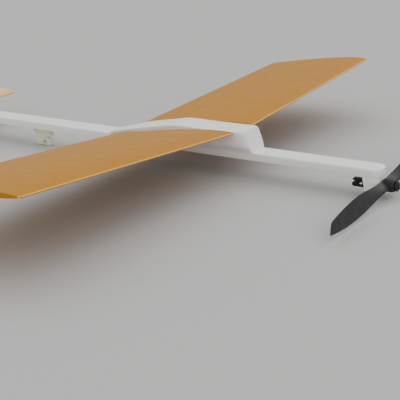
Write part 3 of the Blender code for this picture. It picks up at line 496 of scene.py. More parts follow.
def black_plastic(name="black_moulding"):
    """Satin black moulding with a fine spark-eroded grain and slightly worn, lighter edges."""
    m = Nodes(name, 0.50, IOR=1.45, Specular_IOR_Level=0.22)
    clouds = m.noise(160.0, 5.0)
    base = m.mix(m.span(clouds, 0.3, 0.75), (0.024, 0.024, 0.0255), (0.029, 0.029, 0.0305))
    edge_rub_and_highlight = m.math("MULTIPLY", m.edges(0.0004), 0.5)
    m.set("Base Color", m.mix(edge_rub_and_highlight, base, (0.075, 0.075, 0.078)))
    m.set("Roughness", m.span(m.noise(260.0, 5.0), 0.3, 0.75, 0.44, 0.58))
    m.set("Normal", m.bump(m.noise(2600.0, 2.0), 0.00003, 0.5))
    return m.material


def metal(name, colour, tarnish, streak):
    """Drawn or turned metal: streaks that follow the work, and darker tarnish in patches."""
    m = Nodes(name, 0.25, 1.0)
    lines = m.noise(900.0, 3.0, 0.6, m.stretched(streak))
    patches = m.noise(160.0, 5.0)
    base = m.mix(m.span(patches, 0.45, 0.75, 0.0, 0.6), colour, tarnish)
    m.set("Base Color", m.mix(m.span(lines, 0.4, 0.8, 0.0, 0.3), base, tarnish))
    m.set("Roughness", m.span(lines, 0.25, 0.75, 0.18, 0.36))
    m.set("Normal", m.bump(lines, 0.00001, 0.5))
    return m.material


# Colours of the painted highlight on a panel's leading edge and of the painted shade under it.
LEADING_EDGE_HIGHLIGHT = (0.84, 0.45, 0.05)
LEADING_EDGE_SHADE = (0.16, 0.065, 0.012)
WHITE = white_plastic("white_moulding", 0.9)
CLEAR_WHITE = white_plastic("nose_moulding", 0.0)
WING_SWEEP = TIP_FORWARD / SEMI_SPAN
TAIL_SWEEP = -TAIL_EDGE_BACK / TAIL_HIGH.y
WING_PALE = (0.490, 0.216, 0.014)
WING_DEEP = (0.500, 0.200, 0.005)
TAIL_PALE = (0.95, 0.64, 0.33)
TAIL_DEEP = (0.84, 0.50, 0.20)
WING_SKIN = orange_skin("wing_skin", WING_PALE, WING_DEEP, WING_LE_X, WING_SWEEP, 0.030)
TAIL_SKIN = orange_skin("tail_skin", TAIL_PALE, TAIL_DEEP, TAIL_HIGH.x, TAIL_SWEEP, 0.012)
BLACK = black_plastic()
BRASS = metal("turned_brass", (0.78, 0.57, 0.25), (0.42, 0.26, 0.09), (1.0, 0.1, 0.1))
STEEL = metal("drawn_steel", (0.63, 0.63, 0.64), (0.35, 0.34, 0.33), (0.1, 0.1, 1.0))


# ---------------------------------------------------------------- wing panels


def airfoil(upper, lower, upper_points=40, lower_points=26):
    """Points (s, h) round a section, as shares of its chord, from the trailing edge over the top."""

    def bow(s):
        shape = 0.2969 * math.sqrt(s) - 0.1260 * s - 0.3516 * s**2 + 0.2843 * s**3 - 0.1015 * s**4
        return 10.0 * shape

    points = []
    for i in range(upper_points + 1):
        s = 0.5 + 0.5 * math.cos(math.pi * i / upper_points)
        points.append((s, upper * bow(s) + EDGE_THICKNESS * s))
    for i in range(1, lower_points + 1):
        s = 0.5 - 0.5 * math.cos(math.pi * i / lower_points)
        points.append((s, -lower * bow(s)))
    return points


def section_ring(y, le, chord, drop, section, inset=0.0, thin=1.0):
    """One section of a panel at span y: inset draws both edges in, and thin flattens it."""
    slope = math.hypot(1.0, drop)
    middle = 0.5 * (max(h for _, h in section) + min(h for _, h in section))
    ring = []
    for s, h in section:
        along = inset + s * (chord - 2.0 * inset)
        rise = chord * (middle + (h - middle) * thin)
        ring.append((le[0] - along - rise * drop / slope, y, le[1] - along * drop + rise / slope))
    return ring


def wing_ring(side, y, inset=0.0, thin=1.0):
    share = y / SEMI_SPAN
    chord = ROOT_CHORD + share * (TIP_CHORD - ROOT_CHORD)
    edge = (WING_LE_X + share * TIP_FORWARD, WING_LE_Z + share * TIP_RISE)
    return section_ring(side * y, edge, chord, WING_DROP, airfoil(WING_UPPER, WING_LOWER), inset, thin)


def tip_stations(end, radius, inset_share, thinning):
    """(distance, inset, thinness) of the sections that round off a panel's tip."""
    stations = []
    for i in range(1, 11):
        angle = math.radians(9.0 * i)
        inset = inset_share * radius * (1.0 - math.cos(angle))
        thin = 1.0 - thinning * (i / 10) ** 4
        stations.append((end - radius * (1.0 - math.sin(angle)), inset, thin))
    return stations


def rod_lines():
    """x, z at the centre plane, and radius of the two joiner rods."""
    lines = []
    for name in ("front_joiner_rod", "rear_joiner_rod"):
        low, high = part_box(name)
        radius = (high.x - low.x) / 2
        lines.append(((low.x + high.x) / 2, low.z + radius, radius, high.y))
    return lines


def rod_point(side, x, z, reach):
    return x, side * reach, z + reach * TIP_RISE / SEMI_SPAN


def rod_holes(side, first, last=None):
    holes = []
    for x, z, radius, reach in rod_lines():
        end = last or reach + MM
        hole = rod(rod_point(side, x, z, first), rod_point(side, x, z, end), radius + 0.15 * MM)
        holes.append(("DIFFERENCE", hole))
    return holes


def make_wing(node, side):
    low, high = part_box(node)
    inner = min(abs(low.y), abs(high.y))
    straight = SEMI_SPAN - TIP_RADIUS
    steps = 24
    rings = [wing_ring(side, inner + (straight - inner) * i / steps) for i in range(steps + 1)]
    for y, inset, thin in tip_stations(SEMI_SPAN, TIP_RADIUS, TIP_INSET_SHARE, TIP_THINNING):
        rings.append(wing_ring(side, y, inset, thin))
    piece(node, combine(loft(rings, 40.0), rod_holes(side, 5.0 * MM)), WING_SKIN)


def make_root_rib(node, side):
    low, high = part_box(node)
    first, last = sorted((abs(low.y), abs(high.y)))
    rings = [wing_ring(side, first), wing_ring(side, (first + last) / 2), wing_ring(side, last)]
    piece(node, combine(loft(rings, 40.0), rod_holes(side, 5.0 * MM, 20.0 * MM)), WING_SKIN, 0.12 * MM)


def make_joiner_rod(node, line):
    """A wire bent to the dihedral with a real bend radius, its ends chamfered."""
    x, z, radius, reach = line
    bend = 4.0 * MM
    slope = TIP_RISE / SEMI_SPAN
    route = []
    for side in (-1, 1):
        arm = [(x, side * reach * share, z + reach * share * slope) for share in (1.0, 0.75, 0.5, 0.25)]
        arm += [(x, side * bend * k, z + slope * bend * (k * k + 1.0) / 2.0) for k in (1.0, 0.66, 0.33)]
        route += arm if side < 0 else [(x, 0.0, z + slope * bend / 2.0), *reversed(arm)]
    rings = []
    for index, point in enumerate(route):
        after = Vector(route[min(index + 1, len(route) - 1)])
        along = (after - Vector(route[max(index - 1, 0)])).normalized()
        upward = Vector((1.0, 0.0, 0.0)).cross(along)
        rings.append((Vector(point), along, upward))
    loops = []
    for index, (centre, along, upward) in enumerate(rings):
        sizes = [(0.0, radius)]
        if index == 0:
            sizes = [(0.0, 0.7 * radius), (0.3 * radius, radius)]
        if index == len(rings) - 1:
            sizes = [(-0.3 * radius, radius), (0.0, 0.7 * radius)]
        for shift, size in sizes:
            loop = []
            for i in range(28):
                angle = 2.0 * math.pi * i / 28
                across = Vector((size * math.cos(angle), 0.0, 0.0)) + upward * (size * math.sin(angle))
                loop.append(centre + along * shift + across)
            loops.append(loop)
    piece(node, loft(loops), STEEL)


# ---------------------------------------------------------------- boom


def upright(edge):
    return abs(edge.verts[0].co.z - edge.verts[1].co.z) > 1e-6


def pocket_spans():
    """Start and end x of each pocket under the boom, clear of the bracket and the nose block."""
    behind = (BOOM_LOW.x + 3.5 * MM, BRACKET_LOW.x - 3.5 * MM)
    ahead = (BRACKET_HIGH.x + 8.0 * MM, NOSE_LOW.x - 7.5 * MM)
    spans = []
    for first, last in (behind, ahead):
        count = max(1, round((last - first) / (28.0 * MM)))
        length = (last - first - 2.0 * MM * (count - 1)) / count
        for i in range(count):
            start = first + i * (length + 2.0 * MM)
            spans.append((start, start + length))
    return spans


def make_boom():
    """The stick: round-nosed, with soft upper edges and ribbed pockets underneath."""
    shape = bmesh.new()
    centre = (BOOM_LOW + BOOM_HIGH) / 2
    place = Matrix.Translation(centre) @ Matrix.Diagonal((*(BOOM_HIGH - BOOM_LOW), 1.0))
    bmesh.ops.create_cube(shape, size=1.0, matrix=place)
    corners = [edge for edge in shape.edges if upright(edge)]
    nose = [edge for edge in corners if edge.verts[0].co.x > 0.0]
    tail = [edge for edge in corners if edge.verts[0].co.x < 0.0]
    bmesh.ops.bevel(shape, geom=nose, offset=BOOM_NOSE_CORNER, segments=14, profile=0.5, affect="EDGES")
    bmesh.ops.bevel(shape, geom=tail, offset=BOOM_TAIL_CORNER, segments=6, profile=0.5, affect="EDGES")
    for height, offset, segments in ((BOOM_TOP, BOOM_UPPER_RIM, 6), (BOOM_BOTTOM, BOOM_LOWER_RIM, 3)):
        rim = [e for e in shape.edges if all(abs(v.co.z - height) < 1e-6 for v in e.verts)]
        bmesh.ops.bevel(shape, geom=rim, offset=offset, segments=segments, profile=0.5, affect="EDGES")
    body = finish_mesh(shape)
    half = BOOM_HALF_WIDTH - BOOM_WALL
    roof = BOOM_TOP - BOOM_WALL
    steps = []
    for start, end in pocket_spans():
        low = (start, -half, BOOM_BOTTOM - 2.0 * MM)
        steps.append(("DIFFERENCE", rounded_box(low, (end, half, roof), 0.5 * MM)))
    for start, end, spigot_half, top in SPIGOTS.values():
        low = (start - SPIGOT_ROOM, -spigot_half - SPIGOT_ROOM, BOOM_BOTTOM - 2.0 * MM)
        high = (end + SPIGOT_ROOM, spigot_half + SPIGOT_ROOM, top + SPIGOT_ROOM)
        steps.append(("DIFFERENCE", rounded_box(low, high)))
    for node in SCREW_NODES:
        x, y, _, _ = screw_place(node)
        steps.append(("DIFFERENCE", rod((x, y, roof - MM), (x, y, BOOM_TOP + MM), SCREW_HOLE)))
    piece("fuselage_boom", combine(body, steps), WHITE, 0.1 * MM)


def screw_place(node):
    """x, y, lowest z and highest z of a screw."""
    low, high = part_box(node)
    return (low.x + high.x) / 2, (low.y + high.y) / 2, low.z, high.z


def spigot(node, bottom):
    start, end, half, top = SPIGOTS[node]
    return "UNION", rounded_box((start, -half, bottom), (end, half, top), 0.35 * MM, 2)


def make_nose_block():
    """The block that hangs under the nose and carries the shaft in its bush."""
    low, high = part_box("nose_block")
    top = BOOM_BOTTOM - TOUCH
    lean = 1.6 * MM
    outline = [(low.x, top), (low.x + lean, low.z + 1.6 * MM)]
    for i in range(1, 6):
        angle = math.radians(18.0 * i)
        x = low.x + lean + 1.6 * MM * (1.0 - math.cos(angle))
        outline.append((x, low.z + 1.6 * MM * (1.0 - math.sin(angle))))
    for i in range(1, 6):
        angle = math.radians(18.0 * i)
        x = high.x - 1.6 * MM * (1.0 - math.sin(angle))
        outline.append((x, low.z + 1.6 * MM * (1.0 - math.cos(angle))))
    outline.append((high.x, top))
    body = prism(outline, BOOM_HALF_WIDTH - 0.1 * MM)
    envelope = rounded_box(
        (low.x - MM, -BOOM_HALF_WIDTH, -MM),
        (high.x, BOOM_HALF_WIDTH, BOOM_TOP),
        BOOM_NOSE_CORNER,
        14,
        lambda edge: upright(edge) and edge.verts[0].co.x > low.x,
    )
    bore = rod((low.x - 5.0 * MM, 0.0, SHAFT_Z), (high.x + 5.0 * MM, 0.0, SHAFT_Z), 2.0 * MM)
    steps = [("INTERSECT", envelope), spigot("nose_block", top - MM), ("DIFFERENCE", bore)]
    piece("nose_block", combine(body, steps), CLEAR_WHITE, 0.3 * MM)


def bracket_ring(z, rear_x, trim=0.0):
    """A level section of the rear bracket: square in front with soft corners, round behind."""
    half = BRACKET_HALF_WIDTH - trim
    front = BRACKET_HIGH.x - trim
    corner = 0.5 * MM
    ring = []
    for i in range(5):
        angle = math.radians(-90.0 + 22.5 * i)
        x = front - corner + corner * math.cos(angle)
        ring.append((x, -half + corner + corner * math.sin(angle), z))
    for i in range(5):
        angle = math.radians(22.5 * i)
        x = front - corner + corner * math.cos(angle)
        ring.append((x, half - corner + corner * math.sin(angle), z))
    for i in range(19):
        angle = math.pi * (0.5 + i / 18)
        ring.append((rear_x + BRACKET_HALF_WIDTH + half * math.cos(angle), half * math.sin(angle), z))
    return ring


def make_rear_bracket():
    """The post that the rubber's rear loop goes round, with its slit and pin hole."""
    low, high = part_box("rear_hook_bracket")
    rear = high.x - BRACKET_LENGTH
    reach = rear - low.x
    top = BOOM_BOTTOM - TOUCH
    rings = []
    for i in range(6):
        angle = math.radians(18.0 * i)
        height = 0.4 * MM * (1.0 - math.cos(angle))
        rings.append(bracket_ring(height, rear, 0.4 * MM * (1.0 - math.sin(angle))))
    for i in range(17):
        share = i / 16
        rings.append(bracket_ring(GUSSET_BOTTOM + share * (top - GUSSET_BOTTOM), rear - reach * share**1.3))
    peg_low, peg_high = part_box("rear_motor_peg")
    peg = (peg_low + peg_high) / 2
    peg_radius = (peg_high.z - peg_low.z) / 2
    hole = rod((peg.x, -4.0 * MM, peg.z), (peg.x, 4.0 * MM, peg.z), peg_radius + 0.2 * MM)
    slit_low = (high.x - SLIT_DEPTH, -4.0 * MM, SLIT_BOTTOM)
    slit = rounded_box(slit_low, (high.x + MM, 4.0 * MM, SLIT_TOP), 0.2 * MM)
    steps = [spigot("rear_hook_bracket", top - MM), ("DIFFERENCE", slit), ("DIFFERENCE", hole)]
    piece("rear_hook_bracket", combine(loft(rings), steps), WHITE, 0.12 * MM)
    pin = rod((peg.x, peg_low.y, peg.z), (peg.x, peg_high.y, peg.z), peg_radius, 0.2 * MM)
    piece("rear_motor_peg", pin, STEEL)


# ---------------------------------------------------------------- wing saddle

# x at the foot, x at the top, height above the boom and half width, from the rear end forwards.
SADDLE_STATIONS = (
    (-3.0, -1.5, 1.1, 8.4),
    (10.0, 10.0, 4.0, 10.4),
    (20.0, 20.0, 6.6, 11.2),
    (36.0, 36.0, 9.6, 11.3),
    (47.5, 47.5, 11.6, 11.3),
    (70.0, 70.0, 11.5, 11.3),
    (90.0, 88.0, 11.9, 11.0),
    (96.8, 92.4, 12.0, 10.3),
    (99.6, 94.4, 11.7, 9.2),
)
SADDLE_WALL = 1.2 * MM
SADDLE_FOOT = 7.95 * MM
SADDLE_FLARE = 5.2 * MM
SADDLE_LAP = 1.3 * MM


def smooth_stations(steps=8):
    """Stations read off a curve through the saddle's own, and left as they are at the front."""
    points = SADDLE_STATIONS
    result = []
    for i in range(len(points) - 1):
        before = points[max(i - 1, 0)]
        after = points[min(i + 2, len(points) - 1)]
        for k in range(steps):
            t = k / steps
            row = []
            for a, b, c, d in zip(before, points[i], points[i + 1], after):
                curve = b + 0.5 * t * (c - a + t * (2 * a - 5 * b + 4 * c - d + t * (3 * (b - c) + d - a)))
                row.append(0.7 * curve + 0.3 * (b + t * (c - b)))
            result.append(row)
    result.append(list(points[-1]))
    return [[value * MM for value in row] for row in result]


def saddle_ring(station, inset=0.0, shift=0.0, drop=0.0):
    """One section of the saddle: flared skirt, upright sides, round rims and a crowned top."""
    foot_x, top_x, height, half = station
    floor = BOOM_TOP - SADDLE_LAP
    half -= inset
    foot = SADDLE_FOOT - inset
    top = BOOM_TOP + height - inset
    lip = min(floor + SADDLE_FLARE, top - 0.5 * MM)
    rim = min(0.9 * MM, 0.5 * (top - lip))
    crown = 0.35 * MM
    flare = (half - foot) / (lip - floor)
    profile = [(foot - drop * flare, floor - drop)]
    for i in range(1, 9):
        share = i / 8
        swing = share**2 * (3.0 - 2.0 * share)
        profile.append((foot + (half - foot) * swing, floor + (lip - floor) * share))
    for share in (0.35, 0.7):
        profile.append((half, lip + share * (top - rim - lip)))
    for i in range(7):
        angle = math.radians(15.0 * i)
        y = half - rim * (1.0 - math.cos(angle))
        profile.append((y, top - rim * (1.0 - math.sin(angle))))
    inner = half - rim
    for share in (0.8, 0.6, 0.4, 0.2):
        profile.append((inner * share, top + crown * (1.0 - share**2)))
    profile = [*profile, (0.0, top + crown), *((-y, z) for y, z in reversed(profile))]
    ring = []
    for y, z in profile:
        lean = (top_x - foot_x) * (z - floor) / (top - floor)
        ring.append((foot_x + shift + lean, y, z))
    return ring


def make_saddle():
    """The raised pylon: a thin shell over the rods, with a soft front brow."""
    stations = smooth_stations()
    shell = loft([saddle_ring(station) for station in stations], front_bevel=0.45 * MM)
    inner = [saddle_ring(station, SADDLE_WALL, 0.0, 2.0 * MM) for station in stations[8:-8:4]]
    inner.append(saddle_ring(stations[-1], SADDLE_WALL, -SADDLE_WALL, 2.0 * MM))
    steps = [("DIFFERENCE", loft(inner))]
    for side in (-1, 1):
        steps += rod_holes(side, 6.0 * MM, 14.0 * MM)
    piece("wing_saddle", combine(shell, steps), WHITE)


def make_saddle_base():
    """The cradle inside the saddle: plate, two grooved rod blocks and two screw posts."""
    node = "saddle_base"
    low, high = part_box(node)
    root = low.z + 0.5 * MM
    steps = []
    for x, z, radius, _ in rod_lines():
        block = rounded_box((x - 3.5 * MM, low.y, root), (x + 3.5 * MM, high.y, z), 0.3 * MM)
        groove = rounded_box(
            (x - radius - 0.3 * MM, -20.0 * MM, z - radius - 0.3 * MM),
            (x + radius + 0.3 * MM, 20.0 * MM, z + 5.0 * MM),
        )
        steps += [("UNION", block), ("DIFFERENCE", groove)]
    for screw in SCREW_NODES[:2]:
        x, y, _, tip = screw_place(screw)
        steps.append(("UNION", rod((x, y, root), (x, y, tip + MM), 2.4 * MM, 0.3 * MM)))
    for screw in SCREW_NODES[:2]:
        x, y, _, tip = screw_place(screw)
        steps.append(("DIFFERENCE", rod((x, y, low.z - MM), (x, y, tip + 0.5 * MM), 1.15 * MM)))
    plate = rounded_box(low, (high.x, high.y, low.z + 1.4 * MM), 0.3 * MM)
    piece(node, combine(plate, steps), WHITE)


def make_screw(node):
    """A self-tapping pan-head screw, driven up: threaded shank, domed head and cross recess."""
    x, y, bottom, tip = screw_place(node)
    head = bottom + 1.1 * MM
    core = 0.66 * MM
    crest = 0.9 * MM
    profile = [(tip, 0.0)]
    z = tip - 0.9 * MM
    profile.append((z, core))
    while z - 0.6 * MM > head:
        profile += [(z - 0.25 * MM, crest), (z - 0.35 * MM, crest), (z - 0.6 * MM, core)]
        z -= 0.6 * MM
    profile += [(head, core), (head, 1.9 * MM), (head - 0.25 * MM, 1.9 * MM)]
    for i in range(1, 6):
        angle = math.radians(15.0 * i)
        height = head - 0.25 * MM - 0.85 * MM * math.sin(angle)
        profile.append((height, 0.5 * MM + 1.4 * MM * math.cos(angle)))
    profile.append((bottom, 0.0))
    body = turned(profile, (x, y, 0.0), "Z", 32)
    steps = []
    for long_x, long_y in ((1.0, 0.25), (0.25, 1.0)):
        slot_low = (x - long_x * MM, y - long_y * MM, bottom - MM)
        slot_high = (x + long_x * MM, y + long_y * MM, bottom + 0.7 * MM)
        steps.append(("DIFFERENCE", rounded_box(slot_low, slot_high)))
    piece(node, combine(body, steps), STEEL)


# ---------------------------------------------------------------- tail


def tail_ring(y, inset=0.0, thin=1.0):
    share = abs(y) / TAIL_HIGH.y
    chord = TAIL_ROOT_CHORD + share * (TAIL_TIP_CHORD - TAIL_ROOT_CHORD)
    edge = (TAIL_HIGH.x - share * TAIL_EDGE_BACK, TAIL_LOW.z)
    return section_ring(y, edge, chord, 0.0, airfoil(TAIL_THICKNESS / TAIL_ROOT_CHORD, 0.0), inset, thin)


def make_tailplane():
    span = TAIL_HIGH.y
    half = [tail_ring((span - TAIL_CORNER) * i / 10) for i in range(1, 11)]
    for y, inset, thin in tip_stations(span, TAIL_CORNER, TAIL_INSET_SHARE, TAIL_THINNING):
        half.append(tail_ring(y, inset, thin))
    other = [[(x, -y, z) for x, y, z in ring] for ring in reversed(half)]
    body = loft([*other, tail_ring(0.0), *half], 40.0)
    steps = []
    for node in SCREW_NODES[2:]:
        x, y, _, _ = screw_place(node)
        steps.append(("DIFFERENCE", rod((x, y, BOOM_TOP), (x, y, BOOM_TOP + 10.0 * MM), SCREW_HOLE)))
    piece("tailplane", combine(body, steps), TAIL_SKIN)


def make_tail_mount():
    low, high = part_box("tail_mount")
    body = rounded_box((low.x, low.y, BOOM_TOP + TOUCH), high, 0.4 * MM)
    steps = []
    for node in SCREW_NODES[2:]:
        x, y, _, _ = screw_place(node)
        steps.append(("DIFFERENCE", rod((x, y, low.z - MM), (x, y, high.z + MM), SCREW_HOLE)))
    piece("tail_mount", combine(body, steps), WHITE)


def make_tail_cap():
    """The clamp over the tailplane: plate, screw boss and two cheeks that grip the fin."""
    low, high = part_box("tail_cap")
    plate_top = low.z + 1.4 * MM
    x, _, _, _ = screw_place("tail_screw_port")
    boss_low = (x - 3.5 * MM, low.y, low.z + 0.6 * MM)
    boss = rounded_box(boss_low, (high.x - 0.4 * MM, high.y, plate_top + 2.0 * MM))
    steps = [("UNION", boss)]
    for side in (-1, 1):
        edges = sorted((side * 1.3 * MM, side * 2.6 * MM))
        cheek_low = (low.x + 3.0 * MM, edges[0], low.z + 0.6 * MM)
        cheek = rounded_box(cheek_low, (FIN_HIGH.x - 3.0 * MM, edges[1], high.z), 0.3 * MM)
        steps.append(("UNION", cheek))
    for node in SCREW_NODES[2:]:
        x, y, _, tip = screw_place(node)
        steps.append(("DIFFERENCE", rod((x, y, low.z - MM), (x, y, tip + 0.4 * MM), SCREW_HOLE)))
    plate = rounded_box(low, (high.x, high.y, plate_top), 0.4 * MM)
    piece("tail_cap", combine(plate, steps), WHITE, 0.15 * MM)


def make_fin():
    """The fin: a rounded sheet outline, notched for the trim tab."""
    low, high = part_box("fin")
    tab_low, tab_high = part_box("rudder_tab")
    bottom = tab_low.z - 0.3 * MM
    top = tab_high.z + 0.3 * MM
    notch = tab_high.x + 0.3 * MM
    outline = [(high.x, low.z), (high.x - 2.0 * MM, low.z + 6.0 * MM)]
    outline.append((FIN_SHOULDER_X, high.z - 4.0 * MM))
    for i in range(1, 7):
        angle = math.radians(15.0 * i)
        x = FIN_FRONT_ROUND_X + FIN_FRONT_ROUND * math.cos(angle)
        outline.append((x, high.z - FIN_FRONT_ROUND * (1.0 - math.sin(angle))))
    for i in range(7):
        angle = math.radians(15.0 * i)
        x = low.x + FIN_REAR_ROUND * (1.0 - math.sin(angle))
        outline.append((x, high.z - FIN_REAR_ROUND * (1.0 - math.cos(angle))))
    outline += [(low.x, top), (notch, top), (notch, bottom), (low.x, bottom)]
    outline += [(low.x, low.z + 2.0 * MM), (low.x + 0.5 * MM, low.z + 0.6 * MM), (low.x + 1.5 * MM, low.z)]
    pin_low, pin_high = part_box("rudder_hinge_pin")
    x = (pin_low.x + pin_high.x) / 2
    hole = rod((x, 0.0, pin_low.z - 0.4 * MM), (x, 0.0, pin_high.z + 0.4 * MM), 0.5 * MM)
    body = prism(outline, high.y, 0.35 * MM)
    piece("fin", combine(body, [("DIFFERENCE", hole)]), TAIL_SKIN)
    piece("rudder_hinge_pin", rod((x, 0.0, pin_low.z), (x, 0.0, pin_high.z), 0.35 * MM, 0.1 * MM, 20), STEEL)


def make_rudder_tab():
    """The trim tab: a tapered blade on a barrel with two knuckle grooves."""
    low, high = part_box("rudder_tab")
    x = high.x - 1.2 * MM
    profile = [(low.z, 0.0), (low.z, 1.0 * MM), (low.z + 0.2 * MM, 1.2 * MM)]
    for share in (0.3, 0.7):
        z = low.z + share * (high.z - low.z)
        profile += [(z - 0.4 * MM, 1.2 * MM), (z - 0.2 * MM, 1.02 * MM)]
        profile += [(z + 0.2 * MM, 1.02 * MM), (z + 0.4 * MM, 1.2 * MM)]
    profile += [(high.z - 0.2 * MM, 1.2 * MM), (high.z, 1.0 * MM), (high.z, 0.0)]
    barrel = turned(profile, (x, 0.0, 0.0), "Z", 32)
    rings = []
    for z, trim in ((low.z, 0.3), (low.z + 0.3 * MM, 0.0), (high.z - 0.3 * MM, 0.0), (high.z, 0.3)):
        rear = low.x + trim * MM
        front = x - 0.2 * MM
        rings.append([(front, -0.6 * MM, z), (front, 0.6 * MM, z), (rear, 0.3 * MM, z), (rear, -0.3 * MM, z)])
    hole = rod((x, 0.0, low.z - MM), (x, 0.0, high.z + MM), 0.5 * MM, 0.0, 20)
    piece("rudder_tab", combine(barrel, [("UNION", loft(rings)), ("DIFFERENCE", hole)]), TAIL_SKIN)


# ---------------------------------------------------------------- propeller line


def ring_piece(node, outer, bore, chamfer):
    """A turned ring along the shaft, with chamfered rims: outer is its radius at the rear and the front."""
    low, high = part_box(node)
    start = [(low.x, bore + chamfer), (low.x, outer[0] - chamfer), (low.x + chamfer, outer[0])]
    end = [(high.x - chamfer, outer[1]), (high.x, outer[1] - chamfer), (high.x, bore + chamfer)]
    inside = [(high.x - chamfer, bore), (low.x + chamfer, bore)]
    profile = [*start, *end, *inside, start[0]]
    return turned(profile, (0.0, 0.0, SHAFT_Z))


def blade_chord(radius):
    """The blade's chord at a radius, eased between its stations."""
    r = radius / MM
    for (r0, c0), (r1, c1) in zip(BLADE_STATIONS, BLADE_STATIONS[1:]):
        if r <= r1:
            break
    share = min(1.0, (r - r0) / (r1 - r0))
    return (c0 + (c1 - c0) * share) * MM


def blade_ring(side, radius):
    """One section of a blade, twisted to the propeller's pitch."""
    chord = blade_chord(radius)
    if radius < BLADE_SHOULDER * MM:
        chord = sum(blade_chord(radius + k * 1.5 * MM) for k in (-1, 0, 1)) / 3
    slant = PROP_TIP_SLANT * max(0.0, (radius / MM - BLADE_SHOULDER) / BLADE_TIP_LENGTH)
    angle = min(math.atan2(PROP_PITCH, 2.0 * math.pi * radius), PROP_ROOT_ANGLE)
    swell = max(1.0, 2.2 - radius / (8.0 * MM))
    behind = 0.69 - 0.003 * radius / MM
    ring = []
    for s, h in airfoil(0.075 * swell, 0.025 * swell, 24, 16):
        forward = chord * (1.0 - s - behind)
        rise = chord * h
        x = BLADE_X + forward * math.sin(angle) + rise * math.cos(angle)
        z = SHAFT_Z - forward * math.cos(angle) + rise * math.sin(angle)
        ring.append((x, side * (radius + slant * (1.0 - s)), z))
    return ring


def make_propeller():
    """Hub with a stepped front rim, two mirrored twisted blades, and the clutch's recess."""
    hub_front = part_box("propeller")[1].x
    profile = [
        (HUB_REAR_X, 0.0),
        (HUB_REAR_X, HUB_RADIUS - 0.5 * MM),
        (HUB_REAR_X + 0.4 * MM, HUB_RADIUS),
        (hub_front - 1.5 * MM, HUB_RADIUS),
        (hub_front - 1.3 * MM, HUB_RADIUS - 0.25 * MM),
        (hub_front - 0.3 * MM, HUB_RADIUS - 0.25 * MM),
        (hub_front, HUB_RADIUS - 0.55 * MM),
        (hub_front, 0.0),
    ]
    hub = turned(profile, (0.0, 0.0, SHAFT_Z), segments=64)
    length = (BLADE_SHOULDER - BLADE_ROOT) * MM
    radii = [BLADE_ROOT * MM + length * i / BLADE_STEPS for i in range(BLADE_STEPS + 1)]
    for i in range(1, BLADE_TIP_STEPS + 1):
        radii.append((BLADE_SHOULDER + BLADE_TIP_LENGTH * i / BLADE_TIP_STEPS) * MM)
    steps = []
    centre = Matrix.Translation((0.0, 0.0, SHAFT_Z))
    for side, rise in ((-1, 0.0), (1, PORT_BLADE_RISE)):
        blade = loft([blade_ring(side, radius) for radius in radii], 40.0)
        blade.transform(centre @ Matrix.Rotation(rise, 4, "X") @ centre.inverted())
        steps.append(("UNION", blade))
    for recess in dogs(hub_front - 1.0 * MM, hub_front + MM, 0.3 * MM):
        steps.append(("DIFFERENCE", recess))
    bore = rod((HUB_REAR_X - 5.0 * MM, 0.0, SHAFT_Z), (hub_front + 5.0 * MM, 0.0, SHAFT_Z), BORE)
    steps.append(("DIFFERENCE", bore))
    piece("propeller", combine(hub, steps), BLACK)


def dogs(rear_x, front_x, clearance):
    """Four ramped teeth about the shaft: upright on the driving side, sloping on the other."""
    reach = 2.6 * MM + clearance
    half = 0.5 * MM + clearance
    centre = Matrix.Translation((0.0, 0.0, SHAFT_Z))
    teeth = []
    for i in range(4):
        tooth = rounded_box((rear_x, 1.5 * MM - clearance, -half), (front_x, reach, half))
        for vert in tooth.vertices:
            if vert.co.x < rear_x + 0.1 * MM and vert.co.z > 0.0:
                vert.co.z -= 0.45 * MM
        tooth.transform(centre @ Matrix.Rotation(math.radians(90 * i + 45), 4, "X"))
        teeth.append(tooth)
    return teeth


def make_clutch():
    low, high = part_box("freewheel_clutch")
    disc = low.x + 0.7 * MM
    profile = [
        (disc, 0.0),
        (disc, 2.9 * MM),
        (disc + 0.2 * MM, 3.1 * MM),
        (disc + 0.5 * MM, 3.0 * MM),
        (high.x - 0.15 * MM, 2.6 * MM),
        (high.x, 2.4 * MM),
        (high.x, 0.0),
    ]
    steps = [("UNION", tooth) for tooth in dogs(low.x, disc + 0.4 * MM, 0.0)]
    bore = rod((low.x - 5.0 * MM, 0.0, SHAFT_Z), (high.x + 5.0 * MM, 0.0, SHAFT_Z), BORE)
    body = turned(profile, (0.0, 0.0, SHAFT_Z))
    piece("freewheel_clutch", combine(body, [*steps, ("DIFFERENCE", bore)]), BLACK)


def make_shaft():
    low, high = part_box("propeller_shaft")
    start = (low.x, 0.0, SHAFT_Z)
    piece("propeller_shaft", rod(start, (high.x, 0.0, SHAFT_Z), SHAFT_RADIUS, 0.25 * MM), STEEL)


def make_hook():
    """The moulded hook: notched behind, with a triangular window, on a round neck."""
    low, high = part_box("motor_hook")
    x = low.x
    z = SHAFT_Z
    outline = [
        (0.5, 1.7),
        (0.1, 0.7),
        (1.5, 0.4),
        (1.5, -0.4),
        (0.0, -0.9),
        (0.0, -2.4),
        (0.6, -3.0),
        (7.4, -3.1),
        (6.6, 1.9),
    ]
    body = prism([(x + a * MM, z + b * MM) for a, b in outline], 1.7 * MM, 0.12 * MM, 3)
    neck = rod((x + 6.0 * MM, 0.0, z), (high.x, 0.0, z), 1.9 * MM, 0.3 * MM)
    window = prism([(x + a * MM, z + b * MM) for a, b in ((3.0, -2.3), (6.1, -2.3), (6.1, 0.3))], 4.0 * MM)
    bore = rod((SHAFT_LOW.x - 0.3 * MM, 0.0, z), (high.x + MM, 0.0, z), BORE)
    steps = [("UNION", neck), ("DIFFERENCE", window), ("DIFFERENCE", bore)]
    piece("motor_hook", combine(body, steps), BLACK)


